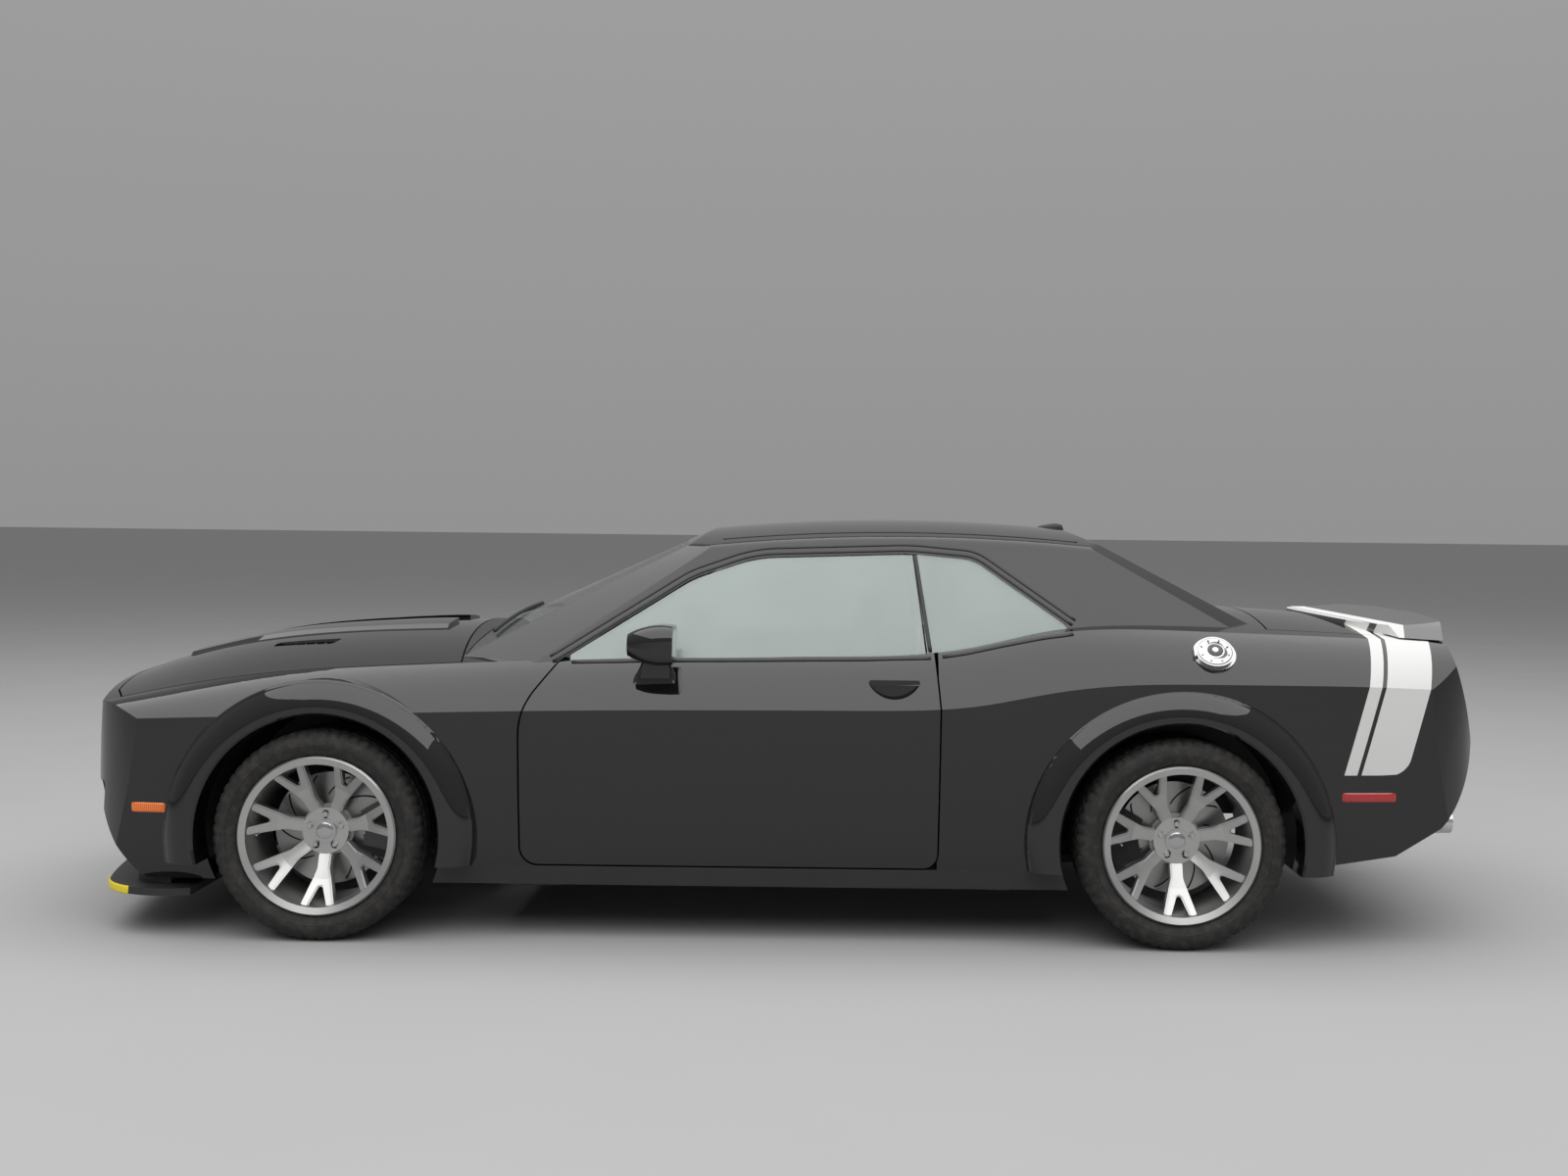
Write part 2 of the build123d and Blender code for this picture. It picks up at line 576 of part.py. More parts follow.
# Flares and liners
flare_profile = make_face([
    Polyline((ARCH_R, 820), (ARCH_R, FLARE_HALF - 7), (ARCH_R + 7, FLARE_HALF)),
    ThreePointArc((ARCH_R + 7, FLARE_HALF), (ARCH_R + 65, FLARE_HALF - 7), (FLARE_R - 12, FLARE_HALF - 34)),
    ThreePointArc(
        (FLARE_R - 12, FLARE_HALF - 34), (FLARE_R - 3, FLARE_HALF - 40), (FLARE_R, FLARE_HALF - 50)),
    Polyline((FLARE_R, FLARE_HALF - 50), (FLARE_R, 820), (ARCH_R, 820)),
])
flare_plane = Plane(origin=(0, 0, 0), x_dir=(1, 0, 0), z_dir=(0, 0, 1))
flare_ring = revolve(flare_plane * flare_profile, Axis.Y, 360)
half_flares = []
for axle in (FRONT_X, REAR_X):
    arch = Pos(axle, 0, TYRE_R) * flare_ring & box(axle - 600, axle + 600, 0, 1100, DOOR_LOW_Z, 1000)
    half_flares = half_flares + list((arch - body).solids())
flares = pair(Compound(children=half_flares))
liner_ring = Circle(ARCH_R + LINER_WALL) - Circle(ARCH_R)
liners = []
for axle, y_in in ((FRONT_X, STEER_INNER), (REAR_X, TRUNK_HALF + LINER_WALL)):
    face = Pos(axle, TYRE_R) * liner_ring
    wall = Pos(axle, TYRE_R) * Circle(ARCH_R + LINER_WALL)
    wall = wall - (Pos(axle, TYRE_R - 240) * Rectangle(1000, 600))
    part = across(face, y_in, 1000) + across(wall, y_in - LINER_WALL, y_in)
    part = part & body_inner & box(-3000, 3000, 0, 1100, 262, 1200)
    liners.append(part)

# Platform: floor, tunnel, firewall and rear bulkhead
FLOOR_ENDS = (BULKHEAD_X - FIREWALL_THICK, FIREWALL_X + FIREWALL_THICK)
FLOOR_TOP = FLOOR_Z + FLOOR_THICK
floor = box(*FLOOR_ENDS, -SILL_INNER, SILL_INNER, FLOOR_Z, FLOOR_TOP)
floor = floor & body
floor = floor - arches
tunnel = forward(poly([(-140, FLOOR_Z), (-110, 400), (110, 400), (140, FLOOR_Z)]), BULKHEAD_X, FIREWALL_X)
tunnel_hollow = poly([(-120, FLOOR_Z - 50), (-92, 382), (92, 382), (120, FLOOR_Z - 50)])
tunnel_void = forward(tunnel_hollow, -3000, FIREWALL_X)
walls = box(FIREWALL_X, FIREWALL_X + FIREWALL_THICK, -1100, 1100, FLOOR_Z, 1300)
walls = walls + box(BULKHEAD_X - FIREWALL_THICK, BULKHEAD_X, -1100, 1100, FLOOR_Z, 1300)
walls = (walls & body_inner) - arches
trunk_floor = box(-2300, FLOOR_ENDS[0], -TRUNK_HALF, TRUNK_HALF, TRUNK_FLOOR_Z, TRUNK_FLOOR_Z + 25)
floor_pan = (floor + walls + tunnel) - tunnel_void - sills + trunk_floor
for liner in liners:
    floor_pan = floor_pan - liner - other(liner)
floor_pan = floor_pan - left_post - other(left_post)

# Engine, front and rear suspension
RAIL_Y = 380.0
subframe = box(FRONT_X - 100, FRONT_X + 100, -430, 430, 215, 300)
for y in (-RAIL_Y - 30, RAIL_Y - 30):
    subframe = subframe + box(FIREWALL_X + FIREWALL_THICK, GRILLE_X - 60, y, y + 60, 300, 420)
ARM_Z = (205.0, 235.0)
UPPER_Z = (520.0, 545.0)
tower = box(FRONT_X - 60, FRONT_X + 60, 400, STEER_INNER - LINER_WALL, 300, 640)
ARM_REACH = WHEEL_Y - 115


def wishbone(axle, root_y, root_half, tip_half, z0, z1):
    outer = poly([(-root_half, root_y), (-tip_half, ARM_REACH), (tip_half, ARM_REACH), (root_half, root_y)])
    inner = poly([(40 - root_half, root_y + 40), (0, ARM_REACH - 130), (root_half - 40, root_y + 40)])
    return upward(Pos(axle, 0) * (outer - inner), z0, z1)


arm = wishbone(FRONT_X, 400, 105, 32, *ARM_Z) + upward(Pos(FRONT_X, 560) * Circle(52), *ARM_Z)
upper = wishbone(FRONT_X, 420, 68, 22, *UPPER_Z)
coil = rod_z(FRONT_X, 560, 30, ARM_Z[1], 771.5) + rod_z(FRONT_X, 560, 52, ARM_Z[1], ARM_Z[1] + 12)
for k in range(7):
    coil = coil + Pos(FRONT_X, 560, 580 + k * 27) * Torus(38, 9)
front_suspension = subframe
for part in (tower + arm + upper + coil, other(tower + arm + upper + coil)):
    front_suspension = front_suspension + part
liners[0] = liners[0] - front_suspension
liners[1] = liners[1] - half_flares[1]
engine = box(1100, 1720, -170, 170, 300, 640)
for way in (-1, 1):
    bank = Pos(1410, way * 170, 690) * Rot(way * -40, 0, 0) * Box(560, 200, 300)
    engine = engine + bank
engine = engine + box(1150, 1650, -150, 150, 640, 900)
engine = engine - front_suspension

# Knuckles, hub carriers, brakes
def carrier(spindle_y, caliper_way, foot):
    part = box(-45, 45, -98 - 37, -98 + 10, foot - TYRE_R + SEAT_GAP, UPPER_Z[0] - TYRE_R - SEAT_GAP)
    part = part + rod_y(0, 0, 70, -120, -80) + rod_y(0, 0, SPINDLE_R, -90, spindle_y)
    sector = Circle(225) - Circle(125)
    wedge = poly([(0, 0), (caliper_way * 400, 230), (caliper_way * 400, -230)])
    caliper = across(sector & wedge, -108, -18)
    caliper = caliper - rod_y(0, 0, DISC_R + 6, -82, -34)
    bridge = poly([(0, -40), (0, 40), (caliper_way * 150, 60), (caliper_way * 150, -60)])
    return part + caliper + across(bridge, -108, -88)


left_knuckle = Pos(FRONT_X, WHEEL_Y, TYRE_R) * carrier(22, -1, ARM_Z[1])
rear_carrier = Pos(REAR_X, WHEEL_Y, TYRE_R) * carrier(22, 1, ARM_Z[1])
half_shaft = rod_y(REAR_X, TYRE_R, 24, 100, WHEEL_Y - 110)
rear_arm = box(REAR_X - 38, REAR_X + 38, 180, WHEEL_Y - 92, ARM_Z[0], ARM_Z[1] + 8)
diff = rod_y(REAR_X, TYRE_R, 110, -110, 110) + rod_x(0, TYRE_R, 60, REAR_X, REAR_X + 130)
rear_frame = box(REAR_X - 160, REAR_X + 160, -230, 230, ARM_Z[1] - 10, ARM_Z[1] + 50)
rear_half = rear_carrier + half_shaft + rear_arm
rear_axle = diff + rear_frame + rear_half + other(rear_half)

# Wheel, built about its own centre with +Y outboard
barrel = make_face(Polyline(
    (BARREL_R, -RIM_HALF + 6), (RIM_R - 6, -RIM_HALF), (RIM_R, -RIM_HALF + 6), (RIM_R, -RIM_HALF + 14),
    (254, -RIM_HALF + 22), (250, -60), (246, 0), (254, RIM_HALF - 22), (RIM_R, RIM_HALF - 14),
    (RIM_R, RIM_HALF - 6), (RIM_R - 6, RIM_HALF), (BARREL_R + 4, RIM_HALF - 8), (BARREL_R, RIM_HALF - 40),
    (236, 0), close=True))
rim = revolve(barrel, Axis.Y, 360)
DISH_FRONT = [(SPINDLE_R + SEAT_GAP, 30), (80, 30), (160, 66), (245, 124)]
DISH_BACK = [(245, 80), (160, 34), (95, -5), (SPINDLE_R + SEAT_GAP, -5)]
dish = revolve(make_face(Polyline(*DISH_FRONT, *DISH_BACK, close=True)), Axis.Y, 360)
low_front = [(r, y - SPOKE_BEVEL) for r, y in DISH_FRONT]
dish_low = revolve(make_face(Polyline(*low_front, *DISH_BACK, close=True)), Axis.Y, 360)
SPOKE_FACE = [
    (50, -22, 0), (128, -21, 40), (246, -60, 0), (246, -33, 0), (168, 0, 10),
    (246, 33, 0), (246, 60, 0), (128, 21, 40), (50, 22, 0),
]
spoke = rounded(SPOKE_FACE)
spoke_top = offset(spoke, -SPOKE_BEVEL) + (Pos(54, 0) * Rectangle(20, 34))
for y in (-45, 45):
    spoke_top = spoke_top + (Pos(243, y) * Rectangle(16, 15))
star = Part()
for k in range(SPOKES):
    turn = Rot(0, k * 360 / SPOKES + 90, 0)
    star = star + turn * ((across(spoke, -20, 160) & dish_low) + (across(spoke_top, -20, 160) & dish))
LUGS = 5
LUG_CIRCLE = 57.5
LUG_R = 15.0
hub = rod_y(0, 0, 80, -5, 30) & dish
hub = hub + (rod_y(0, 0, 38, 24.5, 38) - rod_y(0, 0, 30, 36, 40))
hub = hub - rod_y(0, 0, SPINDLE_R + SEAT_GAP, -10, 24.5)
for k in range(LUGS):
    angle = 2 * math.pi * k / LUGS
    hub = hub - rod_y(LUG_CIRCLE * math.sin(angle), LUG_CIRCLE * math.cos(angle), LUG_R, 10, 60)
rim = rim + star + hub
SEAT_LINE = [
    (RIM_R, -RIM_HALF + 14), (254, -RIM_HALF + 22), (250, -60), (246, 0),
    (254, RIM_HALF - 22), (RIM_R, RIM_HALF - 14),
]
SIDEWALL_R = (RIM_R + TYRE_R) / 2 - 1
tyre_section = make_face([
    Polyline(*SEAT_LINE),
    ThreePointArc((RIM_R, RIM_HALF - 14), (SIDEWALL_R, TYRE_WIDTH / 2), (TYRE_R - 18, 138)),
    ThreePointArc((TYRE_R - 18, 138), (TYRE_R - 6, 130), (TYRE_R - 1, 112)),
    ThreePointArc((TYRE_R - 1, 112), (TYRE_R, 0), (TYRE_R - 1, -112)),
    ThreePointArc((TYRE_R - 1, -112), (TYRE_R - 6, -130), (TYRE_R - 18, -138)),
    ThreePointArc((TYRE_R - 18, -138), (SIDEWALL_R, -TYRE_WIDTH / 2), (RIM_R, -RIM_HALF + 14)),
])
tyre = revolve(tyre_section, Axis.Y, 360)
disc = rod_y(0, 0, DISC_R, -75, -41) - rod_y(0, 0, 80, -80, -30)
disc = disc + rod_y(0, 0, 90, -75, -5) - rod_y(0, 0, 76, -80, -12)
disc = disc - rod_y(0, 0, SPINDLE_R + SEAT_GAP, -80, 0)

# Cabin fittings
dash_profile = rounded([
    (500, 640, 30), (470, 770, 60), (560, 905, 70), (720, 945, 60),
    (FIREWALL_X, 950, 0), (FIREWALL_X, 600, 0),
])
binnacle = rounded([(500, 840, 20), (500, 968, 25), (640, 985, 40), (720, 900, 20)])
dashboard = across(dash_profile, -CABIN_HALF + 20, CABIN_HALF - 20) + across(binnacle, 200, 540)
dashboard = dashboard & body_inner
console = across(rounded([
    (FIREWALL_X, 400, 0), (FIREWALL_X, 620, 0), (560, 660, 60), (220, 560, 60),
    (-350, 560, 40), (-350, 400, 0),
]), -105, 105)
dashboard = dashboard + console
WHEEL_HUB = (395.0, 370.0, 800.0)
steering = Torus(180, 15) + Cylinder(60, 40) + Box(345, 40, 20) + Pos(0, 0, -90) * Cylinder(28, 180)
steering = Pos(*WHEEL_HUB) * Rot(0, -68, 0) * steering
steering = steering - dashboard
SEAT_Y = 395.0
SEAT_HALF = 245.0
BOLSTER_Y = 178.0
SEAT_PARTS = [
    ([(-140, 335, 20), (-150, 470, 40), (330, 515, 60), (385, 440, 45), (355, 335, 20)], 0, SEAT_HALF),
    ([(-140, 335, 20), (-150, 500, 40), (245, 552, 90), (385, 440, 45), (355, 335, 20)],
     BOLSTER_Y, SEAT_HALF),
    ([(-150, 400, 30), (-345, 950, 40), (-235, 985, 45), (-35, 470, 40)], 0, SEAT_HALF - 25),
    ([(-150, 400, 30), (-330, 900, 40), (-215, 905, 50), (5, 470, 40)], BOLSTER_Y, SEAT_HALF),
    ([(-345, 985, 25), (-378, 1150, 40), (-285, 1172, 40), (-235, 1000, 30)], 0, 138),
]
seat_shape = Part()
for profile, y0, y1 in SEAT_PARTS:
    for way in (-1, 1):
        seat_shape = seat_shape + across(rounded(profile), min(way * y0, way * y1), max(way * y0, way * y1))
rails = box(-100, 300, -230, -190, FLOOR_TOP, FLOOR_TOP + 102)
rails = rails + other(rails)
post = box(-310, -270, -20, 20, 930, 1020)
seat = Pos(0, SEAT_Y, 0) * (seat_shape + rails + post)
bench = across(rounded([
    (-560, FLOOR_TOP, 10), (-560, 470, 40), (-960, 430, 50),
    (-1070, 960, 40), (-1150, 960, 30), (BULKHEAD_X, 235, 0),
]), -600, 600)
rear_seat = (bench - tunnel) & body_inner
rear_seat = rear_seat - floor_pan

# Exhaust, fuel lid, mirrors
exhaust = Part()
for y in (-200, 200):
    way = 1 if y > 0 else -1
    exhaust = exhaust + rod_x(y, FLOOR_Z - 32, 32, -1050, 900)
    exhaust = exhaust + forward(Pos(way * 450, 370) * RectangleRounded(340, 140, 60), -2200, -1860)
    exhaust = exhaust + (rod_x(way * 500, 380, 45, -2440, -2190) - rod_x(way * 500, 380, 41, -2450, -2260))
    diffuser = diffuser - rod_x(way * 500, 380, 45, -2600, -2190)
    rear_bumper = rear_bumper - rod_x(way * 500, 380, 45, -2600, -2190)
normal = Vector(0, 0.714, 0.70)
fuel_plane = Plane(origin=FUEL_CENTRE, x_dir=(1, 0, 0), z_dir=normal)
fuel_bezel = extrude(fuel_plane * Circle(FUEL_R + 8), 5) + extrude(fuel_plane * Circle(FUEL_R + 8), -25)
fuel_bezel = fuel_bezel - body
fuel_lid = extrude(fuel_plane.offset(5 + SEAT_GAP) * Circle(FUEL_R), 12)
fuel_lid = fuel_lid + fuel_plane * (Pos(FUEL_R + 2, 0, 12) * Rot(90, 0, 0) * Cylinder(5, 40))
MIRROR_AT = (965.0, 1026.0)
MIRROR_SECTIONS = [(366, 186, 128, 46), (384, 190, 134, 50), (455, 182, 126, 52), (522, 118, 74, 34)]
FOOT_SECTIONS = [(880, 438, 890, 190, 60), (935, 436, 892, 120, 56), (985, 434, 925, 84, 62)]
pod_faces = []
for x, wide, tall, corner in MIRROR_SECTIONS:
    plane = Plane(origin=(x, *MIRROR_AT), x_dir=(0, 1, 0), z_dir=(1, 0, 0))
    pod_faces.append(plane * RectangleRounded(wide, tall, corner))
foot_faces = [Pos(x, y, z) * RectangleRounded(long, wide, 26) for z, x, y, long, wide in FOOT_SECTIONS]
left_mirror = (loft(pod_faces) + loft(foot_faces)) - body - left_door - left_door_glass

# Export
def wheel_at(part, axle, side):
    placed = Pos(axle, WHEEL_Y, TYRE_R) * part
    return placed if side > 0 else other(placed)


NODES = {
    "hood": hood, "trunk_lid": trunk_lid, "spoiler": spoiler, "cowl": cowl,
    "left_door": left_door, "right_door": other(left_door),
    "left_door_glass": left_door_glass, "right_door_glass": other(left_door_glass),
    "left_mirror": left_mirror, "right_mirror": other(left_mirror),
    "left_fender": left_fender, "right_fender": other(left_fender),
    "left_quarter": left_quarter, "right_quarter": other(left_quarter),
    "quarter_windows": pair(left_quarter_window), "posts": pair(left_post),
    "sills": sills, "lid_strips": lid_strips, "front_bumper": front_bumper, "rear_bumper": rear_bumper,
    "rear_deck": rear_deck, "tail_panel": tail_panel, "tail_lamps": tail_lamps,
    "diffuser": diffuser, "roof": roof, "windshield": windshield, "rear_window": rear_window,
    "grille": grille, "headlamps": lamps, "splitter": splitter, "flares": flares,
    "front_liners": pair(liners[0]), "rear_liners": pair(liners[1]),
    "floor_pan": floor_pan, "front_suspension": front_suspension, "engine": engine,
    "left_knuckle": left_knuckle, "right_knuckle": other(left_knuckle), "rear_axle": rear_axle,
    "dashboard": dashboard, "steering_wheel": steering, "front_seats": pair(seat), "rear_seat": rear_seat,
    "exhaust": exhaust, "fuel_bezel": fuel_bezel, "fuel_lid": fuel_lid,
}
for corner, axle, side in (("fl", FRONT_X, 1), ("fr", FRONT_X, -1), ("rl", REAR_X, 1), ("rr", REAR_X, -1)):
    NODES[corner + "_rim"] = wheel_at(rim, axle, side)
    NODES[corner + "_tyre"] = wheel_at(tyre, axle, side)
    NODES[corner + "_disc"] = wheel_at(disc, axle, side)

for name, part in NODES.items():
    print(name, part.is_valid, [round(s.volume / 1e6, 3) for s in part.solids()])
    save(name, part)
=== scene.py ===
import bpy
import math
from mathutils import Matrix, Vector
from mathutils.bvhtree import BVHTree


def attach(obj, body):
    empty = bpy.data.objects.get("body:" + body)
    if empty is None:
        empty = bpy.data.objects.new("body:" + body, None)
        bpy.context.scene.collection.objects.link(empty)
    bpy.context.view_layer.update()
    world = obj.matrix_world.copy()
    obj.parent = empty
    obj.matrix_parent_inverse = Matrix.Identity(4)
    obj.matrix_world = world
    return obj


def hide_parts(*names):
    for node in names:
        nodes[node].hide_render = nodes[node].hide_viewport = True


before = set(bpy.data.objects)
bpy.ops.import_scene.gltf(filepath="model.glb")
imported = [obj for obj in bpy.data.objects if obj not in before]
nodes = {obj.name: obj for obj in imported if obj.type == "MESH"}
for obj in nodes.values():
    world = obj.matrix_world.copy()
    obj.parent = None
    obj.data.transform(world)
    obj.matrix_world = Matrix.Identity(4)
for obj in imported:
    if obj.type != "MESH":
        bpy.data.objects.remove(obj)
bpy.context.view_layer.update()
print("frame loaded:", len(nodes), "nodes")


class Wire:  # a socket that takes part in sums
    def __init__(self, look, socket):
        self.look = look
        self.socket = socket

    def sum(self, operation, *terms, clamp=False):
        values = {index: term for index, term in enumerate(terms)}
        return self.look.add("ShaderNodeMath", {"operation": operation, "use_clamp": clamp}, values)

    def __add__(self, other):
        return self.sum("ADD", self, other)

    def __radd__(self, other):
        return self.sum("ADD", other, self)

    def __sub__(self, other):
        return self.sum("SUBTRACT", self, other)

    def __rsub__(self, other):
        return self.sum("SUBTRACT", other, self)

    def __mul__(self, other):
        return self.sum("MULTIPLY", self, other)

    def __rmul__(self, other):
        return self.sum("MULTIPLY", other, self)

    def __abs__(self):
        return self.sum("ABSOLUTE", self)

    def most(self, other):
        return self.sum("MAXIMUM", self, other)

    def root(self):
        return self.sum("SQRT", self)

    def sine(self):
        return self.sum("SINE", self)

    def above(self, edge, soft=0.001):  # 0 below the edge, 1 above it, over a short ramp
        return self.sum("MULTIPLY_ADD", self - edge, 1 / soft, 0.5, clamp=True)

    def between(self, low, high, soft=0.001):
        return self.above(low, soft) * (1 - self.above(high, soft))


class Nodes:  # a node tree that is built by calls
    def __init__(self, tree):
        self.tree = tree

    def add(self, kind, settings=None, sockets=None, out=0):
        node = self.tree.nodes.new(kind)
        for key, value in (settings or {}).items():
            setattr(node, key, value)
        for key, value in (sockets or {}).items():
            self.feed(node.inputs[key], value)
        return Wire(self, node.outputs[out])

    def feed(self, socket, value):
        if isinstance(value, Wire):
            self.tree.links.new(value.socket, socket)
        elif isinstance(value, tuple) and len(value) == 3 and len(socket.default_value) == 4:
            socket.default_value = (*value, 1)
        else:
            socket.default_value = value

    def place(self):
        return self.add("ShaderNodeTexCoord", out="Object")

    def axes(self, vector):
        node = self.add("ShaderNodeSeparateXYZ", None, {"Vector": vector}).socket.node
        return [Wire(self, node.outputs[k]) for k in range(3)]

    def vector(self, x, y, z):
        return self.add("ShaderNodeCombineXYZ", None, {0: x, 1: y, 2: z})

    def stretch(self, vector, x, y, z):
        return self.add("ShaderNodeVectorMath", {"operation": "MULTIPLY"}, {0: vector, 1: (x, y, z)})

    def noise(self, vector, scale, detail=3.0, rough=0.5):
        sockets = {"Vector": vector, "Scale": scale, "Detail": detail, "Roughness": rough}
        return self.add("ShaderNodeTexNoise", None, sockets)

    def cells(self, vector, scale, feature="F1"):
        return self.add("ShaderNodeTexVoronoi", {"feature": feature}, {"Vector": vector, "Scale": scale})

    def blend(self, mask, first, second):  # colours
        return self.add("ShaderNodeMix", {"data_type": "RGBA"}, {0: mask, 6: first, 7: second}, out=2)


class Look(Nodes):  # one material
    def __init__(self, name, fixed):
        self.material = bpy.data.materials.new(name)
        self.material.use_nodes = True
        super().__init__(self.material.node_tree)
        self.shader = self.tree.nodes["Principled BSDF"]
        for key, value in fixed.items():
            self.put(key, value)

    def put(self, key, value):
        self.feed(self.shader.inputs[key], value)

    def bump(self, height, distance, strength=1.0):
        sockets = {"Height": height, "Distance": distance, "Strength": strength}
        self.put("Normal", self.add("ShaderNodeBump", None, sockets))


def scaled(colour, share):
    return tuple(c * share for c in colour)


bodyPaint = {
    "black": (0.0045, 0.0045, 0.0055),
    "gloss": {"Specular IOR Level": 0.0, "Coat Roughness": 0.015, "Coat IOR": 1.62},
    "stripe": (0.70, 0.70, 0.685),
    "stripeFront": -2.018,   # front edge of the narrow band on the upper side
    "stripeBreak": 0.905,    # below this height the bands lean forward
    "stripeLean": 0.266,
    "stripeFall": 0.25,      # above it they lean back
    "spoilerEnd": 0.135,     # the spoiler covers the rest of the wide band
    "stripeMatt": 0.9,       # the bands are satin film with little of the clear coat
    "narrow": 0.045,
    "wide": (0.060, 0.219),
    "stripeFoot": 0.600,
    "stripeCorner": 0.055,
}


def stripeMask(look, end):  # two bands round the tail, cut off at a distance behind the first edge
    x, y, z = look.axes(look.place())
    low = (bodyPaint["stripeBreak"] - z).most(0.0) * bodyPaint["stripeLean"]
    high = (z - bodyPaint["stripeBreak"]).most(0.0) * bodyPaint["stripeFall"]
    back = (bodyPaint["stripeFront"] + low - high) - x
    corner = bodyPaint["stripeCorner"]
    overX = (back - (end - corner)).most(0.0)
    overZ = ((bodyPaint["stripeFoot"] + corner) - z).most(0.0)
    inCorner = 1 - (overX * overX + overZ * overZ).root().above(corner)
    wide = back.above(bodyPaint["wide"][0]) * inCorner
    narrow = back.between(0.0, bodyPaint["narrow"])
    return (wide + narrow) * z.above(bodyPaint["stripeFoot"])


def makePaint():
    look = Look("gloss black paint", bodyPaint["gloss"])
    dust = look.noise(look.place(), 90.0, 4.0)
    mask = stripeMask(look, bodyPaint["wide"][1])
    look.put("Base Color", look.blend(mask, bodyPaint["black"], bodyPaint["stripe"]))
    look.put("Roughness", 0.28 + dust * 0.10)
    look.put("Coat Weight", 1 - mask * bodyPaint["stripeMatt"])
    return look


def makeSpoilerPaint():
    look = Look("satin spoiler paint", {"Specular IOR Level": 0.0, "Coat Roughness": 0.20, "Coat IOR": 1.8})
    grain = look.noise(look.place(), 400.0, 3.0)
    mask = stripeMask(look, bodyPaint["spoilerEnd"])
    base = look.blend(grain, (0.060, 0.060, 0.062), (0.085, 0.085, 0.087))
    look.put("Base Color", look.blend(mask, base, bodyPaint["stripe"]))
    look.put("Roughness", 0.26 + grain * 0.08)
    look.put("Coat Weight", 1 - mask * bodyPaint["stripeMatt"])
    return look


def makePlainPaint():
    look = Look("plain black paint", bodyPaint["gloss"] | {"Coat Weight": 1.0})
    dust = look.noise(look.place(), 90.0, 4.0)
    look.put("Base Color", look.blend(dust, bodyPaint["black"], scaled(bodyPaint["black"], 1.35)))
    look.put("Roughness", 0.28 + dust * 0.10)
    return look


def makeGlass(name, tint, cover):
    look = Look(name, {"IOR": 1.5, "Coat Weight": 1.0, "Coat Roughness": 0.01})
    haze = look.noise(look.place(), 3.0, 2.0)
    look.put("Base Color", look.blend(haze, tint, scaled(tint, 1.1)))
    look.put("Roughness", 0.03 + haze * 0.03)
    look.put("Alpha", cover + haze * 0.08)
    return look


tyreLook = {"rubber": (0.016, 0.0155, 0.015), "dust": (0.050, 0.046, 0.040)}


def makeRubber():
    look = Look("tyre rubber", {"IOR": 1.45})
    place = look.place()
    grime = look.noise(place, 38.0, 6.0, 0.6)
    fine = look.noise(place, 700.0, 2.0)
    dusty = grime.between(0.55, 0.9, 0.2) * 0.6
    look.put("Base Color", look.blend(dusty, tyreLook["rubber"], tyreLook["dust"]))
    look.put("Roughness", 0.62 + grime * 0.25)
    look.bump(fine, 0.0006, 0.35)
    return look


def makeRimSilver():
    look = Look("satin silver alloy", {"Metallic": 0.9})
    place = look.place()
    brush = look.noise(look.stretch(place, 60.0, 60.0, 60.0), 9.0, 3.0)
    film = look.noise(place, 14.0, 3.0)
    look.put("Base Color", look.blend(film, (0.46, 0.46, 0.452), (0.53, 0.53, 0.522)))
    look.put("Roughness", 0.27 + brush * 0.10)
    return look


wheelCentres = {"front": 1.5785, "rear": -1.3725, "height": 0.36, "side": 0.833}


def wheelRadius(look):  # distance from the nearest axle line
    x, y, z = look.axes(look.place())
    isFront = x.above(0.0)
    dx = x - (isFront * (wheelCentres["front"] - wheelCentres["rear"]) + wheelCentres["rear"])
    dz = z - wheelCentres["height"]
    return (dx * dx + dz * dz).root(), dx, dz


def makeDisc():
    look = Look("turned brake disc", {"Metallic": 1.0})
    radius, dx, dz = wheelRadius(look)
    rings = (radius * 2400.0).sine()
    angle = dx.sum("ARCTAN2", dx, dz)
    # the slots are pressed in by the bump and also painted near-black: that dark colour is painted shade in the
    # grooves
    slotsAndShade = ((angle * 10.0) + radius * 60.0).sine().above(0.965, 0.01) * radius.between(0.115, 0.188)
    look.put("Base Color", look.blend(slotsAndShade, (0.36, 0.355, 0.35), (0.03, 0.03, 0.03)))
    look.put("Roughness", 0.30 + rings * 0.06)
    look.bump(rings * 0.2 - slotsAndShade, 0.0008, 0.5)
    return look


def makeKnuckle():
    look = Look("knuckle and caliper", {"IOR": 1.5})
    radius, dx, dz = wheelRadius(look)
    cast = look.noise(look.place(), 160.0, 4.0)
    caliper = radius.above(0.120)
    look.put("Base Color", look.blend(caliper, (0.10, 0.10, 0.10), (0.022, 0.022, 0.024)))
    look.put("Metallic", 0.7 - caliper * 0.7)
    look.put("Coat Weight", caliper)
    look.put("Roughness", 0.45 + cast * 0.2)
    look.bump(cast, 0.0012, 0.3)
    return look


def makeTrim(name="grained black plastic", colour=(0.018, 0.018, 0.019), base=0.42):
    look = Look(name, {"IOR": 1.48})
    grain = look.noise(look.place(), 900.0, 2.0)
    wear = look.noise(look.place(), 7.0, 3.0)
    look.put("Base Color", look.blend(wear, colour, scaled(colour, 1.7)))
    look.put("Roughness", base + grain * 0.14)
    look.bump(grain, 0.0005, 0.3)
    return look


def makeLeather(name, colour):
    look = Look(name, {"IOR": 1.45, "Sheen Weight": 0.15})
    place = look.place()
    pores = look.cells(place, 330.0, "DISTANCE_TO_EDGE")
    folds = look.noise(place, 40.0, 5.0)
    look.put("Base Color", look.blend(folds, colour, scaled(colour, 1.8)))
    look.put("Roughness", 0.44 + folds * 0.18)
    look.bump(pores.sum("MULTIPLY", pores, 5.0, clamp=True) + folds * 0.6, 0.0006, 0.5)
    return look


